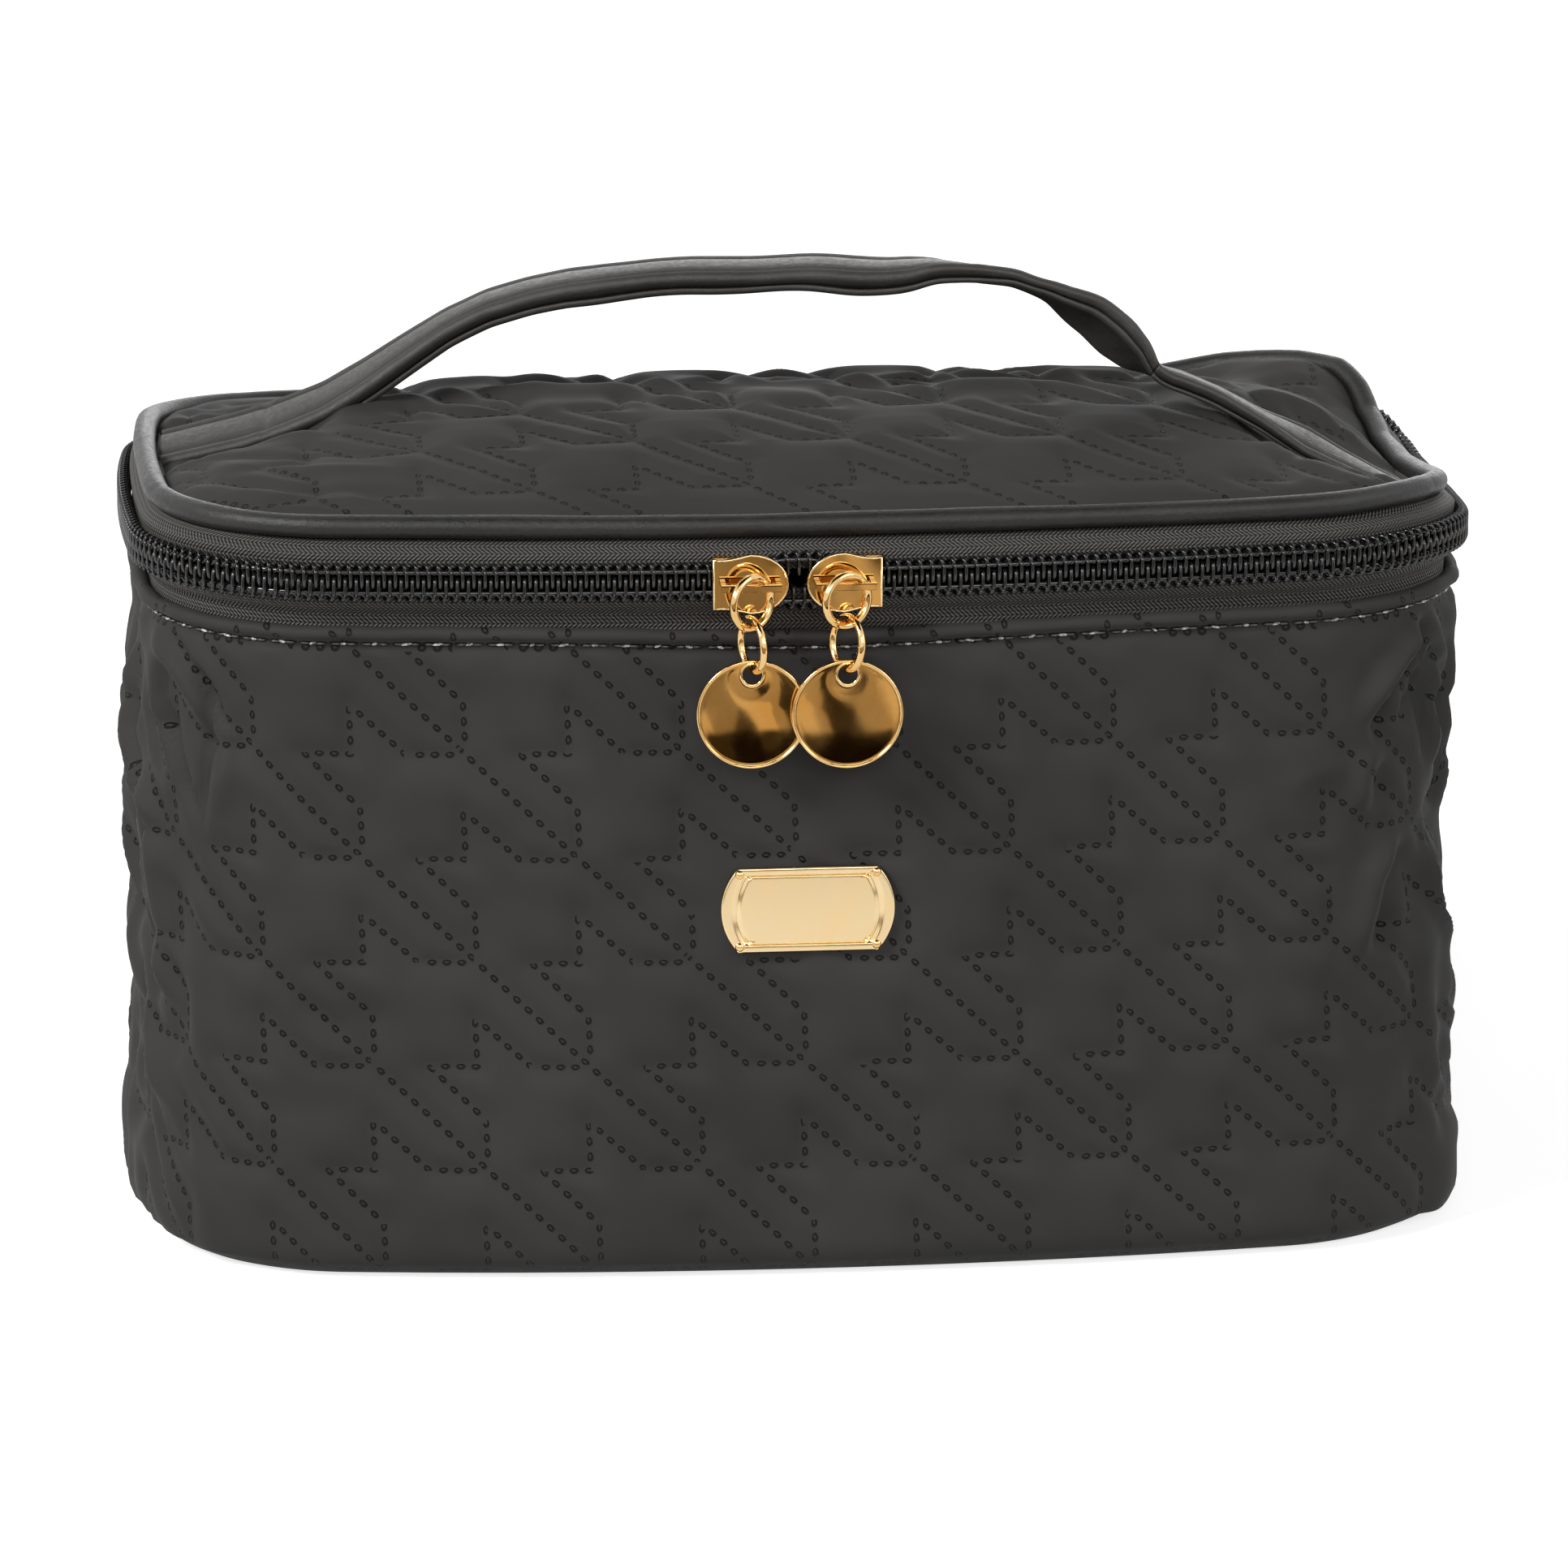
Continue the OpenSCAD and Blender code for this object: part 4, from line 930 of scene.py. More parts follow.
def lid_height(x, y):
    """Height of the lid's upper face before quilting: flat at the rim and domed inside.

    Under the strap it is pressed down, and it rises again from the strap's edges.
    """
    rim_z, dome, lowest = 141.1, 9.4, 139.0
    across = table(y, [(-66, 0), (-60, .22), (-55, .36), (-46, .60), (-36, .80), (-26, .93),
                       (-16, 1), (-4, 1.02), (6, .97), (15, .90), (30, .70), (45, .44),
                       (58, .17), (66, 0)])
    along = 1 - (np.minimum(np.abs(x), 116.5) / 116.5) ** 4
    z = rim_z + dome * across * along
    c, s = np.cos(STRAP_TURN), np.sin(STRAP_TURN)
    on_strap, beside = x * c + (y - STRAP_Y) * s, -x * s + (y - STRAP_Y) * c
    under = np.interp(on_strap, STRAP_LINE[:, 0], STRAP_LINE[:, 2]) - 2.9
    room = under - 0.8 * smooth(80, 92, on_strap) + lid_drop(x, y)
    room = room + 0.05 * np.maximum(np.abs(beside) - STRAP_HALF_W, 0) ** 1.7
    return np.minimum(z, np.maximum(room, lowest))


def quilted_lid():
    """The lid's cover and padding: rings of the outline drawn in towards the middle.

    A point is r times the rim's place, at the dome's height plus wrinkles and quilting.
    """
    columns, rings, edge_off, pole = 620, 112, -4.1, 0.012
    origin_x, origin_y, squeezed, rows_on, thick = 69.8, 10.5, 0.985, 2.55, 2.6
    edge, _ = rim(all_round(columns), edge_off)
    r = np.linspace(1, pole, rings) ** 0.92
    top = r[:, None, None] * edge[None]
    X, Y = top[..., 0], top[..., 1]
    from_edge = (1 - r)[:, None] * np.hypot(edge[:, 0], edge[:, 1])[None]
    # The pattern's first junction lies at the origin, and the pattern is a little squeezed
    # from front to back and moved on by some rows.
    x = (X + origin_x) / UNIT_X
    y = (-origin_y - Y) / (UNIT_Y * squeezed) - rows_on
    far, _, _ = nearest_line(x, y)
    # The back is rucked in waves along the case, and both ends are crumpled.
    ends = smooth(78, 104, np.abs(X))
    back = smooth(-24, 4, Y) * (1 - 0.6 * smooth(14, 36, Y))
    back = back * (1 - smooth(52, 96, X)) * (1 - smooth(72, 104, -X))
    pad = (0.85 + 0.9 * back + 0.35 * ends) * (1 - np.exp(-(far / 2.4) ** 1.4)) - 0.25
    waves = np.sin(2 * np.pi * (Y - 0.08 * X + 2.6 * np.sin(2 * np.pi * X / 47.0)) / 13.5)
    wrinkles = 0.75 * back * waves
    wrinkles += 0.8 * (0.4 * ends + back) * ripple(X * 0.38, Y * 1.5, 5, 9, 15.0)
    wrinkles += 0.35 * ripple(X, Y, 9, 7, 34.0) + folds_of(X, Y, LID_FOLDS)
    # The edge is tucked in under the piping, and the back corners are dished.
    tuck = 1.1 * (1 - smooth(0, 3.0, from_edge))
    dish = 3.2 * smooth(62, 96, X) * smooth(2, 40, Y)
    dish = (dish + 1.2 * smooth(88, 108, -X) * smooth(10, 40, Y)) * smooth(2, 20, from_edge)
    Z = lid_height(X, Y) + (pad + wrinkles) * smooth(0, 7, from_edge) - tuck - dish
    upper = np.concatenate([top, Z[..., None]], -1)
    low_r = np.array([0.995, 0.985, 0.93, 0.75, 0.5, 0.25, pole])
    low = low_r[:, None, None] * edge[None]
    low_z = np.clip(lid_height(low[..., 0], low[..., 1]) - thick, 137.8, 139.3)
    low_z[0] = 139.6
    lower = np.concatenate([low, low_z[..., None]], -1)
    rows = len(low_r) + rings
    points, faces = capped_rings(settle(np.concatenate([lower[::-1], upper])))
    whole_x, whole_y = np.zeros((rows, columns)), np.zeros((rows, columns))
    whole_x[-rings:], whole_y[-rings:] = x, y
    thread = [quilt_map(whole_x, whole_y, faces[0], len(low_r) + 1, rows)]
    thread += [np.full(cap.shape + (2,), ASIDE) for cap in faces[1:]]
    return put_mesh("quilted_lid", points, faces, QUILTED, thread)


# ---------------------------------------------------------------------------
# Piping, tapes, hinge and linings
# ---------------------------------------------------------------------------
def piping_tube():
    """Piping round the lid: a tube of slightly uneven radius along the outline."""
    u = all_round(560)
    turn = u * 2 * np.pi / ROUND_L
    xy, _ = rim(u, -PIPING_IN)
    uneven = 0.05 * np.sin(9 * turn) + 0.04 * np.sin(23 * turn + 1)
    crease = 0.16 * np.exp(-((u + 133) / 1.2) ** 2) + 0.14 * np.exp(-((u - 121) / 1.4) ** 2)
    path = np.concatenate([xy, (PIPING_Z + 0.10 * np.sin(7 * turn))[:, None]], -1)
    points, faces = tube(settle(path), PIPING_R + uneven - crease, 20, closed=True)
    # The piping takes the darker copy of the satin leather, painted darker as shade.
    return put_mesh("lid_piping_roll", points, faces, PIPING_PAINTED_DARKER)


def strip_profile(line, thick, steps=0.9):
    """A strip of even thickness on the inner side of a line, its points about steps apart."""
    line = np.asarray(line, float)
    run = profile_length(line)
    even = np.linspace(0, run[-1], int(run[-1] / steps) + 2)
    t = np.unique(np.concatenate([run, even]))
    face = np.stack([np.interp(t, run, line[:, 0]), np.interp(t, run, line[:, 1])], -1)
    face = blurred(face, 2)
    ahead = unit(np.gradient(face, axis=0))
    right = np.stack([ahead[:, 1], -ahead[:, 0]], -1)
    return np.concatenate([face, (face - right * thick)[::-1]])


# Lines that the strips follow, as (offset, height) pairs. SLOT is how far a tape's fold
# lies from the zip's middle, and TAPE_EDGE how far its free edge does.
TAPE_FACE, TAPE_SEWN, SEAM_Z, SLOT, TAPE_EDGE = 0.4, -1.35, 138.3, 4.9, 1.8
LOWER_TAPE_LINE = [(TAPE_SEWN, 113.4), (TAPE_SEWN, 124.6), (-1.0, 125.2),
                   (TAPE_FACE, ZIP_Z - SLOT + 0.3), (TAPE_FACE, ZIP_Z - TAPE_EDGE)]
UPPER_TAPE_LINE = [(TAPE_FACE, ZIP_Z + TAPE_EDGE), (TAPE_FACE, ZIP_Z + SLOT), (-2.0, SEAM_Z),
                   (-7.3, SEAM_Z)]
HINGE_LINE = [(TAPE_SEWN, 113.4), (TAPE_SEWN, 124.8), (TAPE_FACE, ZIP_Z - SLOT),
              (TAPE_FACE, ZIP_Z + SLOT), (-2.0, SEAM_Z), (-7.3, SEAM_Z)]
WALL_LINING_LINE = [(-4.5, 4.5), (-4.5, 30), (-4.5, 60), (-4.5, 90), (-4.5, 108.7),
                    (-2.1, 112.3), (-2.1, 125.0)]
TAPE_SPAN = (ZIP_FROM + 0.4, ZIP_TO - 0.4)


def pushed_out(points, lift, out):
    """Points moved outwards by a lift for each."""
    moved = points.copy()
    moved[..., :2] += lift[..., None] * out
    return moved


def belly(amount, low, high):
    """A shift that moves a strip out, by amount at half way between two heights."""
    def shift(points, u, profile, out):
        z = profile[:, 1]
        t = np.clip((z - low) / (high - low), 0, 1)
        uneven = 1 + 0.25 * ripple(u[None], z[:, None], 13, 6, 30.0)
        return pushed_out(points, amount * np.sin(np.pi * t)[:, None] * uneven, out)
    return shift


def rumple(points, u, profile, out):
    """Moves the wall's lining in by soft waves, none at the floor and under the tape."""
    z = profile[:, 1]
    calm = (smooth(5, 16, z) * (1 - smooth(98, 106, z)))[:, None]
    return pushed_out(points, -0.9 * calm * (1 + ripple(u[None], z[:, None], 17, 8, 40.0)) / 2, out)


def flat_sheet(name, off, height, thick, material):
    """A sheet inside the outline: rings drawn in to the middle, at a height from x and y."""
    edge, _ = rim(all_round(240), off)
    r = np.array([1.0, 0.985, 0.95, 0.88, 0.78, 0.65, 0.5, 0.35, 0.2, 0.06])
    flat = r[:, None, None] * edge[None]
    z = height(flat[..., 0], flat[..., 1])[..., None]
    upper, lower = np.concatenate([flat, z], -1), np.concatenate([flat, z - thick], -1)
    points, faces = capped_rings(np.concatenate([upper[::-1], lower]))
    return put_mesh(name, points, faces, material)


def lid_lining_cloth():
    """The lid's lining sheet with its skirt down to the tape."""
    columns, top_z = 260, 137.6
    u = all_round(columns)
    edge, _ = rim(u, -3.4)
    rings = []
    for r in (0.06, 0.25, 0.45, 0.65, 0.8, 0.9, 0.96, 0.985):
        x, y = (r * edge).T
        z = 136.8 - 1.0 * (1 + ripple(x, y, 29, 7, 45.0)) * (1 - r**6)
        rings.append(np.stack([x, y, z], -1))
    skirt = [(-3.3, 137.0), (-3.3, 134.2), (-2.5, 134.2), (-2.5, 136.4), (-2.6, 137.4),
             (-3.4, top_z)]
    for off, z in skirt:
        rings.append(np.concatenate([rim(u, off)[0], np.full((columns, 1), z)], -1))
    for r in (0.985, 0.8, 0.45, 0.06):
        rings.append(np.concatenate([r * edge, np.full((columns, 1), top_z)], -1))
    points, faces = capped_rings(settle(np.stack(rings)))
    return put_mesh("lid_lining_cloth", points, faces, LINING)


# ---------------------------------------------------------------------------
# Zip coil: one loop of monofilament for each tooth, and the sewing
# ---------------------------------------------------------------------------
TOOTH_PITCH, COIL_W, WIRE_R, CORD_R, YARN_R = 2.0, 7.3, 0.36, 0.50, 0.17
MEET_X, NOSE_GAP, SLIDER_L, ROW_SPREAD = -4.8, 3.4, 13.4, 1.9


def spread(u):
    """How far a row is pushed aside: fully between the sliders, and not at all past them."""
    full, none = NOSE_GAP / 2, NOSE_GAP / 2 + SLIDER_L * 0.62
    return ROW_SPREAD * (1 - smooth(full, none, np.abs(u - MEET_X)))


def along_zip(local, u, side):
    """Copies of a wire's points (along, out, up) at each place u of the zip's row on a side."""
    xy, _ = rim(u[:, None, None] + local[..., 0], ZIP_OUT + local[..., 1])
    z = ZIP_Z + side * (local[..., 2] + spread(u)[:, None, None])
    return settle(np.concatenate([xy, z[..., None]], -1))


def row_start(side):
    """The lower row (side -1) is half a pitch ahead of the upper one (side 1)."""
    return 0 if side > 0 else TOOTH_PITCH / 2


def coil_row(name, side):
    """Turns of the coil: a slanted hairpin loop carried to each tooth's place along the zip.

    Each loop runs from the sewn edge over the front to the head past the parting
    line and back underneath to the next turn's foot. The head is pressed wider.
    """
    count = int((ZIP_L * 1.003 - 1.5) / TOOTH_PITCH)
    u = ZIP_FROM + 0.74 + row_start(side) + np.arange(count) * (ZIP_L - 2.2) / count
    half = COIL_W / 2
    # (along the zip, out from the coil's middle, towards the sewn edge)
    loop = np.array([
        (-0.10, 0.85, half - 1.15), (-0.04, 0.93, 1.9), (0.0, 0.92, 0.9), (0.0, 0.86, -0.1),
        (0.0, 0.62, -0.62), (0.0, 0.0, -0.78), (0.0, -0.62, -0.62), (0.03, -0.86, 0.0),
        (0.2, -0.93, 1.3), (0.55, -0.88, 2.3), (0.95, -0.55, half - 0.62),
        (1.25, 0.0, half - 0.40), (1.62, 0.55, half - 0.58), (1.90, 0.85, half - 1.15)])
    radius = WIRE_R * np.array([1, 1, 1, 1.12, 1.3, 1.35, 1.3, 1.12, 1, 1, 1, 1, 1, 1])
    turns, faces = repeated(along_zip(wire_rings(loop, radius, 6, (1.0, 0.15, 0.1)), u, side))
    cord_u = np.linspace(u[0] - 0.3, u[-1] + 0.3, 420)
    cord_z = ZIP_Z + side * (half - 1.75 + spread(cord_u))
    cord = settle(np.concatenate([rim(cord_u, ZIP_OUT)[0], cord_z[:, None]], -1))
    cord_points, cord_faces = tube(cord, CORD_R, 8, start=len(turns))
    return put_mesh(name, np.concatenate([turns, cord_points]), faces + cord_faces, COIL)


def coil_stitches(name, side):
    """The sewing that holds a coil row to its tape: short slanted stitches between the turns."""
    count = int(ZIP_L / TOOTH_PITCH) - 1
    u = ZIP_FROM + 1.9 + row_start(side) + np.arange(count) * (ZIP_L - 2.2) / (count + 1)
    half = COIL_W / 2
    stitch = np.array([(-0.25, 1.06, half - 1.9), (0.1, 1.16, half - 1.55),
                       (0.45, 1.02, half - 1.2), (0.62, 0.4, half - 0.75),
                       (0.6, -0.6, half - 0.5)])
    points, faces = repeated(along_zip(wire_rings(stitch, YARN_R, 5, (0.2, 0.1, 1.0)), u, side))
    return put_mesh(name, points, faces, TAPE_THREAD)


def groove_capsules(name, at, off, z, radius, material):
    """Capsules in the groove under the hem: rings of a radius round lines at (at, off, z)."""
    turn = full_turn(6)
    off = off[..., None] + radius[:, None] * np.cos(turn)
    z = z[..., None] + radius[:, None] * np.sin(turn) - hem_droop(at)[..., None]
    xy, _ = rim(at[..., None], off)
    whole = settle(np.concatenate([xy, z[..., None]], -1))
    points, faces = repeated(whole)
    return put_mesh(name, points, faces, material)


def hem_stitches():
    """Topstitching under the rolled hem: short capsules in the groove, one each 2.8 mm."""
    count, half_long = 242, 1.12
    t = np.linspace(-1, 1, 7)
    at = all_round(count)[:, None] + half_long * t
    on_wall = wall_bulge(at, np.full(at.shape, GROOVE_Z)) * (1 - smooth(119, 123, GROOVE_Z))
    off = -0.10 - 0.55 * np.abs(t) ** 2.5 + on_wall
    radius = 0.30 * np.sqrt(np.clip(1 - (np.abs(t) * 0.97) ** 4, 0.02, 1))
    return groove_capsules("hem_stitches", at, off, np.full(at.shape, GROOVE_Z), radius, THREAD)


def hem_painted_glints():
    """Painted highlights on the topstitching: a near-white capsule at every other needle hole, put
    where the thread glints.
    """
    count = 121
    rng = np.random.default_rng(4)
    t = np.linspace(-1, 1, 5)
    half_long = rng.uniform(0.45, 0.95, count)[:, None]
    off = -0.12 + 0.12 * rng.uniform(-1, 1, count)[:, None] + 0 * t
    z = GROOVE_Z + 0.18 * rng.uniform(-1, 1, count)[:, None] * t
    at = (all_round(count) + 0.25 * ROUND_L / count)[:, None] + half_long * t
    radius = 0.26 * np.sqrt(np.clip(1 - (np.abs(t) * 0.96) ** 3, 0.05, 1))
    return groove_capsules("hem_stitch_painted_glints", at, off, z, radius, GLINT_PAINTED_THREAD)


# ---------------------------------------------------------------------------
# Coins, sliders' edges and plate
# ---------------------------------------------------------------------------
def box_mm(cad):
    """Lowest corner, highest corner and middle of a CAD node's box, in mm."""
    low, high = [np.array(corner) * 1000 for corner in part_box(cad)]
    return low, high, (low + high) / 2


def rimmed_coin(name, cad):
    """A coin with a rounded bead round its edge and its hole, and a slightly domed face.

    Each row is a circle: the hole's, grown, or the coin's, shrunk, and the rows
    between move from one to the other. y is the half thickness at that row.
    """
    _, _, middle = box_mm(cad)
    hole_up, hole_r, coin_r, steps = 7.3, 1.75, 10.0, 96
    edge_w, hole_w, face, dome = 0.62, 0.50, 0.22, 0.05
    a = full_turn(steps)
    circle = np.stack([np.cos(a), np.sin(a)], -1)
    at_hole = [(hole_w, face), (0.44, 0.23), (0.38, 0.27), (0.24, 0.34), (0.10, 0.32), (0, 0.18)]
    at_edge = [(0, 0.15), (0.05, 0.34), (0.18, 0.47), (0.32, 0.5), (0.44, 0.44), (0.50, 0.30),
               (0.55, 0.235), (edge_w, face)]
    upper = [np.concatenate([(coin_r - inset) * circle, np.full((steps, 1), y)], -1)
             for inset, y in at_edge]
    outer, inner = (coin_r - edge_w) * circle, (hole_r + hole_w) * circle + (0, hole_up)
    for t in (0.97, 0.9, 0.8, 0.68, 0.55, 0.42, 0.3, 0.2, 0.1, 0.03):
        flat = t * outer + (1 - t) * inner
        inside = 1 - (np.hypot(flat[:, 0], flat[:, 1]) / (coin_r - edge_w)) ** 2
        from_hole = np.hypot(flat[:, 0], flat[:, 1] - hole_up) - hole_r - hole_w
        swell = dome * inside * smooth(0, 0.16, inside) * smooth(0, 2.5, from_hole)
        upper.append(np.concatenate([flat, (face + swell)[:, None]], -1))
    upper += [np.concatenate([(hole_r + more) * circle + (0, hole_up), np.full((steps, 1), y)], -1)
              for more, y in at_hole]
    upper = np.stack(upper)
    ring = np.concatenate([upper, upper[::-1] * (1, 1, -1)])
    points = np.stack([ring[..., 0], -ring[..., 2], ring[..., 1]], -1) + middle
    faces = [grid_faces(len(ring), steps, True, True)]
    return put_mesh(name, points, faces, GOLD)


def slider_edge(name, cad, nose):
    """The polished edge of a slider's face: a thin bead along its shield outline, drawn in the
    paler gold so that it shows as a bright line, a painted highlight.

    nose is 1 where the shield points to the right and -1 where it points left.
    """
    low, _, middle = box_mm(cad)
    half_l, tail, wing, bead_r = SLIDER_L / 2, 4.6, 5.4, 0.19
    t = np.linspace(0, 1, 9)
    side = np.stack([-half_l + t * half_l,
                     tail + (wing - tail) * smooth(0, 1, t) - 0.35 * np.sin(np.pi * t)], -1)
    a = np.radians(np.linspace(12, 90, 8))
    upper = np.concatenate([side, np.stack([half_l * np.sin(a), wing * np.cos(a)], -1)])
    ring = np.concatenate([upper, upper[-2::-1] * (1, -1)]) * (0.985, 0.975)
    turn = np.arcsin(middle[0] / (FRONT_BOW + ZIP_OUT))
    along = ring[:, 0] * nose
    face_y = low[1] + half_l * abs(np.sin(turn)) + 0.04
    path = np.stack([middle[0] + along * np.cos(turn), face_y + along * np.sin(turn),
                     middle[2] + ring[:, 1]], -1)
    points, faces = tube(path, bead_r, 8, closed=True, up=(0, 1, 0))
    return put_mesh(name, points, faces, PALE_GOLD_AND_EDGE_HIGHLIGHT)


PLATE_HALF_W, PLATE_HALF_H, PLATE_PROUD = 15.8, 7.9, 0.34
PLATE_END_R = 2 * PLATE_HALF_H * 0.73
# Rows of the plate from its back edge to its middle: (inset, depth below its front).
PLATE_ROWS = [
    (0.0, -1.05), (0.0, -0.50), (0.03, -0.36), (0.10, -0.24), (0.22, -0.14), (0.30, -0.11),
    (0.36, -0.10), (0.60, -0.10), (1.20, -0.10), (1.27, -0.11), (1.31, -0.15), (1.44, -0.52),
    (1.48, -0.58), (1.52, -0.58), (1.56, -0.52), (1.69, -0.20), (1.73, -0.165), (1.80, -0.16),
    (2.2, -0.16), (3.2, -0.16), (4.6, -0.16), (6.2, -0.16), (7.6, -0.16)]


def plate_outline(inset, a):
    """The plate's outline drawn in by an inset, more so at the ends, at angles a.

    Each point lies where its ray leaves the rectangle, and the ends are arcs.
    """
    at_ends = inset + 2.6 * smooth(0.9, 1.9, inset) * (1 - inset / PLATE_HALF_H)
    half_w, half_h = PLATE_HALF_W - at_ends, PLATE_HALF_H - inset
    c, s = np.cos(a), np.sin(a)
    far = np.minimum(half_w / np.maximum(np.abs(c), 1e-6), half_h / np.maximum(np.abs(s), 1e-6))
    x, z = np.clip(far * c, -half_w, half_w), far * s
    bow = PLATE_END_R - np.sqrt(PLATE_END_R**2 - z**2)
    corner_x = half_w - (PLATE_END_R - np.sqrt(PLATE_END_R**2 - half_h**2))
    on_end = np.abs(s) * half_w < np.abs(c) * half_h
    inner_x = np.sign(x) * np.minimum(np.abs(x), corner_x)
    return np.where(on_end, np.sign(c) * (half_w - bow), inner_x), z


def bare_plate():
    """The bare name plate: bevelled edge, engraved groove and plain panel."""
    low, _, middle = box_mm("badge_plate")
    a = full_turn(160)
    rings = []
    for inset, y in PLATE_ROWS:
        x, z = plate_outline(inset, a)
        depth = np.full(len(a), low[1] + PLATE_PROUD - y)
        rings.append(np.stack([middle[0] + x, depth, middle[2] + z], -1))
    points, faces = capped_rings(np.stack(rings))
    return put_mesh("bare_name_plate", points, faces, PALE_GOLD_AND_EDGE_HIGHLIGHT)


def plate_studs():
    """A domed stud at each of the plate's corners."""
    low, _, middle = box_mm("badge_plate")
    stud_r, across, up = 0.86, 12.4, 6.75
    dome = np.linspace(0, np.pi / 2 * 0.96, 6)
    b = full_turn(20)
    r = np.concatenate([[stud_r], stud_r * np.cos(dome)])[:, None]
    y = low[1] + np.concatenate([[0.9], 0.44 - 0.66 * np.sin(dome)])[:, None]
    points, faces = np.zeros((0, 3)), []
    for sx in (-across, across):
        for sz in (-up, up):
            rings = np.stack([middle[0] + sx + r * np.cos(b), y + 0 * b,
                              middle[2] + sz + r * np.sin(b)], -1)
            stud, stud_faces = capped_rings(rings, len(points))
            points, faces = np.concatenate([points, stud]), faces + stud_faces
    return put_mesh("plate_studs", points, faces, GOLD)


# ---------------------------------------------------------------------------
# Strap handle: a folded strap with two rolled welts on each edge
# ---------------------------------------------------------------------------
STRAP_FROM, STRAP_PARTED, STRAP_TO = -115.6, 66, 112.5


def strap_section():
    """Points (across, through) round the strap: crowned top, welts, and a hollow underside."""
    top = [(-5.6, 1.30), (-5.2, 0.90), (-4.6, 1.40), (-3, 1.72), (0, 1.85), (3, 1.72),
           (4.6, 1.40), (5.2, 0.90), (5.6, 1.30)]
    under = [(5.2, -2.2), (4.0, -1.95), (2, -1.8), (0, -1.75), (-2, -1.8), (-4.0, -1.95),
             (-5.2, -2.2)]
    a = np.radians(np.linspace(70, -62, 8))
    b = np.radians(np.linspace(48, -100, 6))
    upper = np.stack([6.15 + 1.85 * np.cos(a), 0.15 + 1.5 * np.sin(a)], -1)
    lower = np.stack([6.35 + 0.95 * np.cos(b), -1.75 + 0.85 * np.sin(b)], -1)
    right = np.concatenate([upper, lower])
    return np.concatenate([top, right, under, right[::-1] * (-1, 1)])


def strap_frame(n):
    """The strap's middle line, and the directions across it and through it."""
    run = profile_length(STRAP_LINE)
    t = np.linspace(0, run[-1], n)
    line = np.stack([np.interp(t, run, STRAP_LINE[:, i]) for i in range(3)], -1)
    line = blurred(line, n // 60)
    ahead = unit(np.gradient(line, axis=0))
    across = unit(np.cross((0, 0, 1.0), ahead))
    through = np.cross(ahead, across)
    degrees = table(line[:, 0], [(-114, 9), (-100, 11), (-80, 9), (-60, 2), (-30, 0), (12, 0),
                                 (22, -2), (28, -10), (34, -15), (44, -14), (49, -18),
                                 (54, -32), (59, -38), (63, -34), (66.5, -12), (70, -6),
                                 (76, -8), (86, -4), (94, 10), (104, 4), (114, -4)])
    twist = blurred(np.radians(degrees), 3)
    c, s = np.cos(twist)[:, None], np.sin(twist)[:, None]
    return line, c * across + s * through, c * through - s * across


def strap_piece(name, from_x, to_x):
    """A stretch of the strap: its section carried along the middle line, pinched at its twist."""
    overlap = 0.31
    line, across, through = strap_frame(420)
    keep = (line[:, 0] >= from_x - overlap) & (line[:, 0] <= to_x + overlap)
    line, across, through = line[keep], across[keep], through[keep]
    x = line[:, 0]
    narrow = table(x, [(-60, 1), (26, 1), (36, .86), (50, .92), (60, .84), (66, .64), (72, .68),
                       (90, .76), (112, .60)])
    flat = table(x, [(-114, .82), (-80, .92), (-60, 1), (20, 1), (32, .72), (46, .72),
                     (52, .9), (60, .9), (66, .66), (72, .64), (112, .50)])
    wave = 0.30 * np.sin(2 * np.pi * x / 27 + 0.6) * np.exp(-((x - 20) / 45) ** 2)
    kinks = 0.25 * np.exp(-((x + 96) / 0.8) ** 2) + 0.3 * np.exp(-((x - 66) / 1.2) ** 2)
    hang = 0.35 + 0.5 * ripple(x, 0 * x, 41, 5, 26.0)
    w, t = strap_section().T
    wide = w * narrow[:, None]
    high = t * flat[:, None] - kinks[:, None] * (t > 1)
    high = high - hang[:, None] * ((w < -5) & (t < -1)) + wave[:, None]
    rings = line[:, None] + wide[..., None] * across[:, None] + high[..., None] * through[:, None]
    points, faces = capped_rings(rings)
    # The strap takes the lighter copy of the satin leather, painted lighter as light on its top.
    return put_mesh(name, points, faces, STRAP_PAINTED_LIGHTER)


# ---------------------------------------------------------------------------
# Make and place the pieces
# ---------------------------------------------------------------------------
wall = quilted_wall()
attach(wall, "case")
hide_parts("wall_cover", "wall_foam")

# The glint capsules are painted highlights on the topstitching.
hem, glints = hem_stitches(), hem_painted_glints()
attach(hem, "case")
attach(glints, "case")

for side in ("left", "right"):
    coin = rimmed_coin("rimmed_coin_" + side, "coin_" + side)
    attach(coin, "coin_" + side)
    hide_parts("coin_" + side)
for side, nose in (("left", 1), ("right", -1)):
    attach(slider_edge("slider_edge_" + side, "slider_" + side, nose), "slider_" + side)
plate, studs = bare_plate(), plate_studs()
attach(plate, "case")
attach(studs, "case")
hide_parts("badge_plate")

lid = quilted_lid()
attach(lid, "lid")
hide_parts("lid_cover", "lid_foam")

piping = piping_tube()
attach(piping, "lid")
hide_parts("lid_piping", "lid_piping_cord")

low_tape = profile_round("zip_tape_cloth_lower", strip_profile(LOWER_TAPE_LINE, 0.55), TWILL,
                         520, TAPE_SPAN)
high_tape = profile_round("zip_tape_cloth_upper", strip_profile(UPPER_TAPE_LINE, 0.55), TWILL,
                          520, TAPE_SPAN, belly(0.35, 134.5, 138.5))
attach(low_tape, "case")
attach(high_tape, "lid")
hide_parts("zip_tape_lower")
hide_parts("zip_tape_upper")

hinge = profile_round("hinge_strip_cloth", strip_profile(HINGE_LINE, 0.6), LEATHER,
                      170, (ZIP_TO + 0.2, ZIP_FROM + ROUND_L - 0.2),
                      belly(1.1, 126, 137.5))
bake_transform(hinge)
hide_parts("hinge_strip")

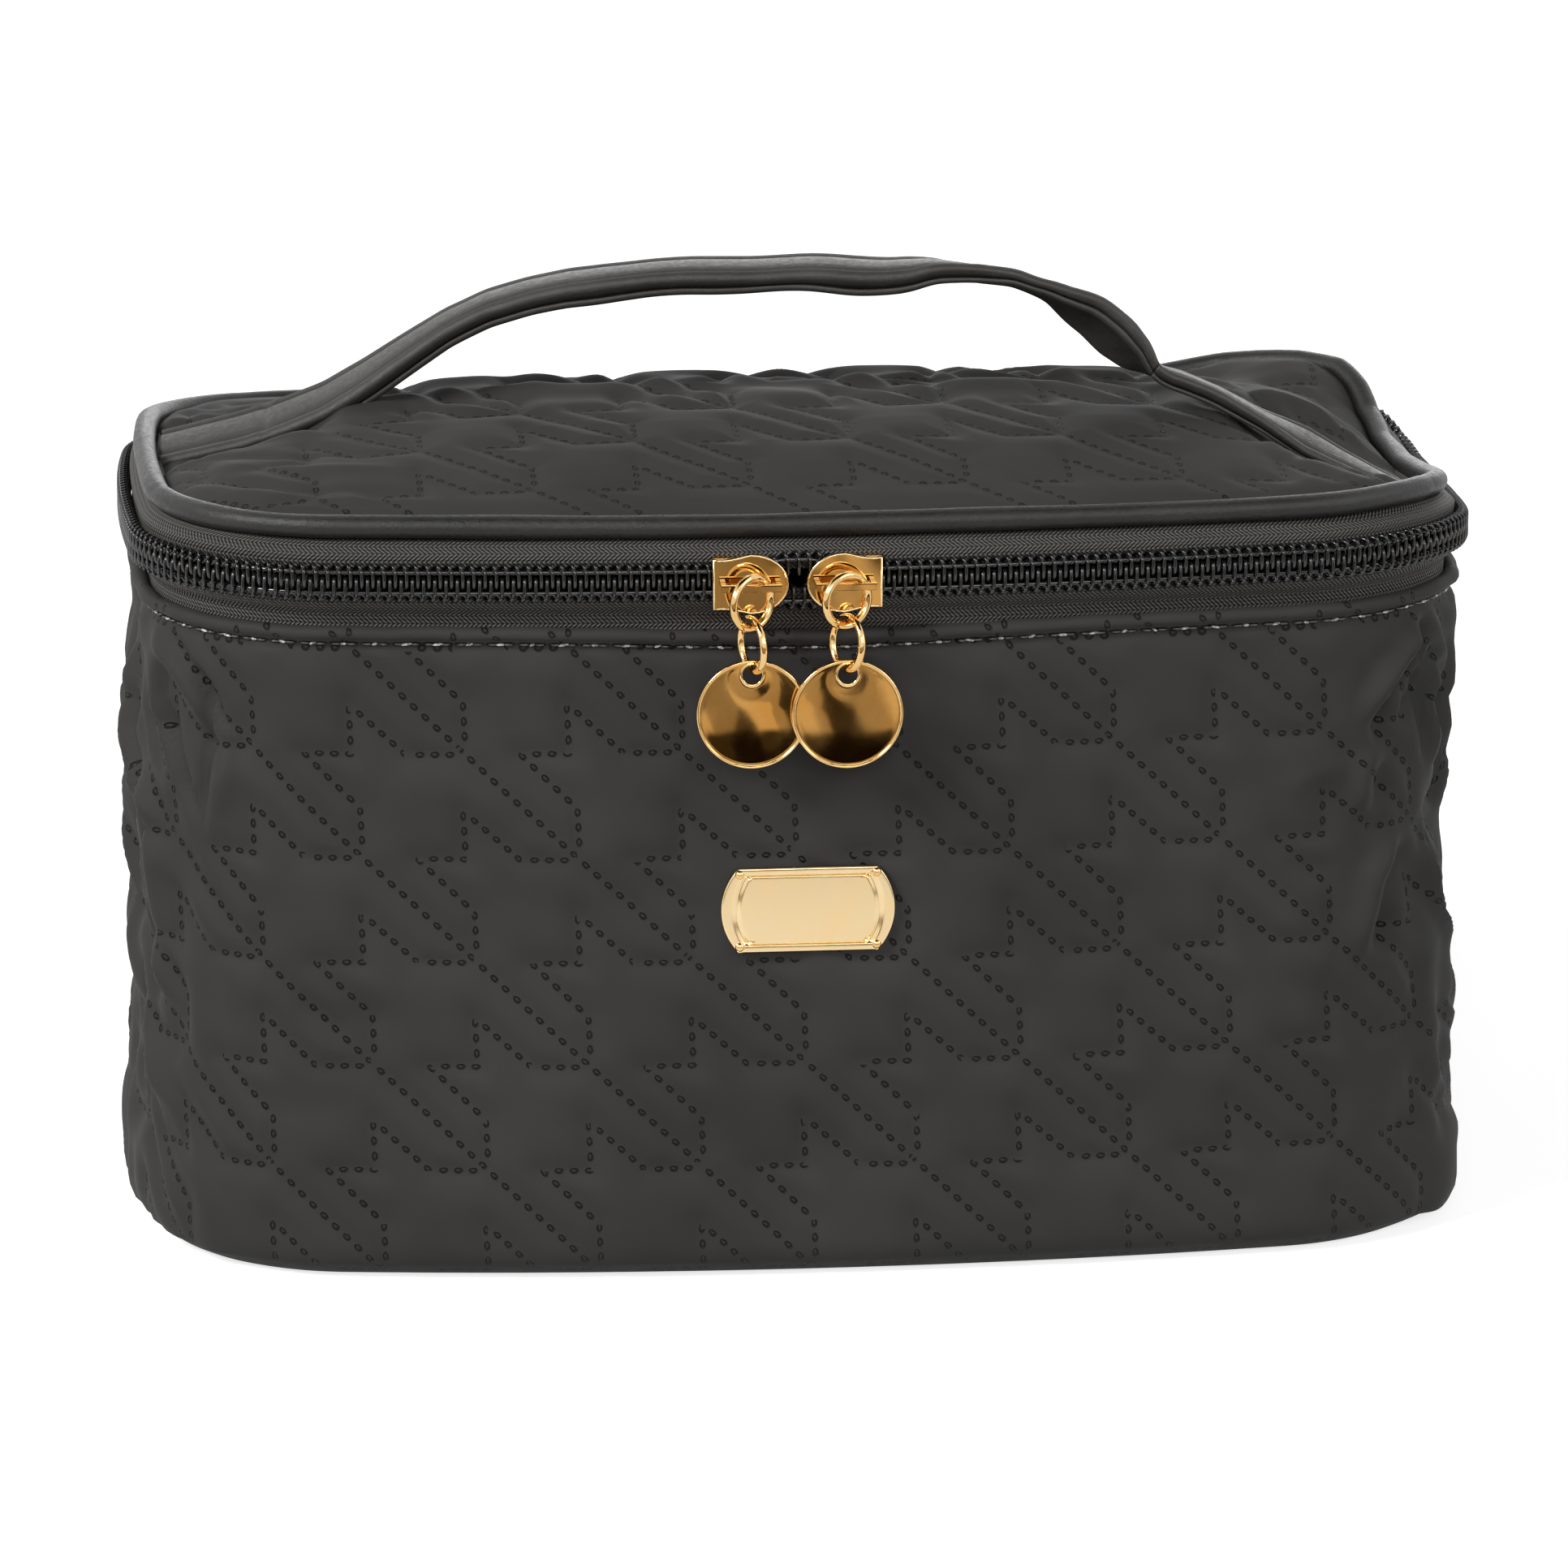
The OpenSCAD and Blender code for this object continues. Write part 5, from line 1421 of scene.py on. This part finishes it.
low_coil, high_coil = coil_row("coil_turns_lower", -1), coil_row("coil_turns_upper", 1)
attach(low_coil, "case")
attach(high_coil, "lid")
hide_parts("zip_coil_lower")
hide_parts("zip_coil_upper")
low_sewing = coil_stitches("coil_sewing_lower", -1)
high_sewing = coil_stitches("coil_sewing_upper", 1)
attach(low_sewing, "case")
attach(high_sewing, "lid")

FLOOR_OFF, BASE_OFF = -4.6, -12.15
BASE_Z, BASE_THICK = 1.2, 1.15
wall_cloth = profile_round("wall_lining_cloth", strip_profile(WALL_LINING_LINE, 0.7, 4.0),
                           LINING, 260, None, rumple)
floor_sheet = flat_sheet("floor_lining_cloth", FLOOR_OFF,
                         lambda x, y: 4.25 + 0.10 * ripple(x, y, 23, 7, 45.0), 0.7,
                         LINING)
lid_cloth = lid_lining_cloth()
base = flat_sheet("base_panel", BASE_OFF, lambda x, y: np.full(x.shape, BASE_Z), BASE_THICK,
                  LEATHER)
for sheet_piece, body, cad in ((wall_cloth, "case", "wall_lining"),
                               (floor_sheet, "case", "floor_lining"),
                               (lid_cloth, "lid", "lid_lining"), (base, "case", "base_cover")):
    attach(sheet_piece, body)
    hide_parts(cad)


def cut(off):
    """Area in square metres inside the outline moved out by off, by the shoelace sum."""
    x, y = rim(np.linspace(0, ROUND_L, 2000, endpoint=False), off)[0].T
    return abs(np.sum(x * np.roll(y, -1) - y * np.roll(x, -1))) / 2e6


cut(FLOOR_OFF)
cut(BASE_OFF)
cut(0.9)

strap_long = strap_piece("strap_left_and_top", STRAP_FROM, STRAP_PARTED)
strap_short = strap_piece("strap_right", STRAP_PARTED, STRAP_TO)
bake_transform(strap_long)
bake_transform(strap_short)
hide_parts("handle_strap", "handle_core", "strap_end_left")
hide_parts("strap_end_right")

# The CAD's own pieces that stay: washer, board, sliders, bridge bars, rings and links.
for name, cad_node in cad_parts.items():
    for place in cad_node.material_slots:
        place.material = {"badge_backing": STEEL, "base_board": BOARD}.get(name, GOLD)


# ---------------------------------------------------------------------------
# Studio
# ---------------------------------------------------------------------------
def directly_seen(tree):
    """Sockets for camera rays, and for camera, mirrored and transmitted rays together."""
    ray = node(tree, "LightPath", out=None)
    other = node(tree, "Math", [ray["Is Glossy Ray"], ray["Is Transmission Ray"]],
                 operation="MAXIMUM")
    by_camera = ray["Is Camera Ray"]
    return by_camera, node(tree, "Math", [by_camera, other], operation="MAXIMUM")


def stage_sheet(name, corners, material):
    """A flat four-cornered sheet of the studio, which isn't part of the case."""
    mesh = bpy.data.meshes.new(name)
    mesh.from_pydata(corners, [], [(0, 1, 2, 3)])
    mesh.materials.append(material)
    sheet = bpy.data.objects.new(name, mesh)
    bpy.context.scene.collection.objects.link(sheet)
    return sheet


def level_corners(x, near_y, far_y, z):
    """Corners of a level rectangle from -x to x."""
    return [(-x, near_y, z), (x, near_y, z), (x, far_y, z), (-x, far_y, z)]


def unlit(name):
    """A material with nothing but an output, for a sheet that gives its own shade."""
    material = bpy.data.materials.new(name)
    material.use_nodes = True
    tree = material.node_tree
    tree.nodes.remove(tree.nodes["Principled BSDF"])
    return material, tree, tree.nodes["Material Output"].inputs[0]


def studio_floor():
    """A wide white floor that keeps the case's soft shadow.

    What is seen directly is paper that glows up to white, less so in polished metal,
    and other light meets a plain grey floor, which lights the case little from below.
    """
    material, tree, surface = unlit("white_studio_floor")
    by_camera, direct = directly_seen(tree)
    paper = node(tree, "BsdfDiffuse", [(0.80, 0.80, 0.80, 1)])
    glow = node(tree, "Emission", {1: 0.74})
    mirrored = node(tree, "Emission", {1: 0.42})
    own = node(tree, "MixShader", [by_camera, mirrored, glow])
    lit = node(tree, "AddShader", [paper, own])
    plain = node(tree, "BsdfDiffuse", [(0.42, 0.42, 0.42, 1)])
    tree.links.new(node(tree, "MixShader", [direct, plain, lit]), surface)
    stage_sheet("studio_floor", level_corners(14.0, -14.0, 14.0, 0), material)


def glossy_card(name, corners, material):
    """A card of the studio that only shows in polished metal and as a sheen."""
    card = stage_sheet(name, corners, material)
    for seen_by in ("camera", "diffuse", "transmission", "volume_scatter", "shadow"):
        setattr(card, "visible_" + seen_by, False)


def front_card():
    """A dark table edge in front of the white floor, with dim warm blocks on it."""
    material, tree, surface = unlit("dark_table_edge")
    where = node(tree, "TexCoord", out="Object")
    placed = node(tree, "Mapping", {"Vector": where, "Location": (0.33, 0.0, 0.0),
                                    "Scale": (1.0, 0.10, 1.0)})
    blocks = node(tree, "TexVoronoi", {"Vector": placed, "Scale": 95.0}, "Color",
                  distance="CHEBYCHEV")
    shade = node(tree, "SeparateColor", [blocks])
    y = node(tree, "SeparateXYZ", [where], 1)
    near = node(tree, "MapRange", [y, -0.468, -0.462, 1.0, 0.22])
    tone = node(tree, "Math", [shade, near], operation="MULTIPLY")
    colour = node(tree, "ValToRGB", [tone], stops=[(0.15, "#120a04"), (0.95, "#ecd0a4")])
    tree.links.new(node(tree, "Emission", [colour]), surface)
    glossy_card("dark_table_edge", level_corners(1.6, -3.4, -0.385, 0.001), material)


def dark_ceiling():
    """A dark ceiling over the white room, which gives bevels and grooves their dark side."""
    material, tree, surface = unlit("dark_ceiling")
    tree.links.new(node(tree, "Emission", [linear("#2b2118")]), surface)
    glossy_card("dark_ceiling", level_corners(1.3, -1.5, 0.9, 2.4), material)


def soft_box(name, place, aim_z, width, height, power):
    """A large rectangular lamp that points at a height on the case's middle line."""
    lamp = bpy.data.lights.new(name, "AREA")
    lamp.shape = "RECTANGLE"
    lamp.size, lamp.size_y = width, height
    lamp.energy = power
    stand = bpy.data.objects.new(name, lamp)
    bpy.context.scene.collection.objects.link(stand)
    stand.location = place
    ahead = Vector((0, 0, aim_z)) - Vector(place)
    stand.rotation_euler = ahead.to_track_quat("-Z", "Y").to_euler()


def white_room():
    """White where it is seen directly, and a dim even light for everything else."""
    world = bpy.data.worlds.new("white_room")
    world.use_nodes = True
    bpy.context.scene.world = world
    tree = world.node_tree
    _, direct = directly_seen(tree)
    white = node(tree, "Background", [(1, 1, 1, 1), 1.0])
    dim = tree.nodes["Background"]
    dim.inputs[0].default_value = (1, 1, 1, 1)
    dim.inputs[1].default_value = 0.18
    tree.links.new(node(tree, "MixShader", [direct, dim.outputs[0], white]),
                   tree.nodes["World Output"].inputs[0])


studio_floor()
front_card()
dark_ceiling()
soft_box("key_softbox", (-1.50, -1.00, 1.35), 0.08, 0.7, 0.6, 31.0)
soft_box("front_softbox", (0.10, -2.10, 1.05), 0.08, 1.1, 0.6, 9.6)
soft_box("fill_softbox", (1.6, -0.9, 0.9), 0.08, 0.8, 0.8, 6.5)
soft_box("back_softbox", (0.4, 1.9, 0.42), 0.07, 1.2, 0.5, 4.0)
white_room()
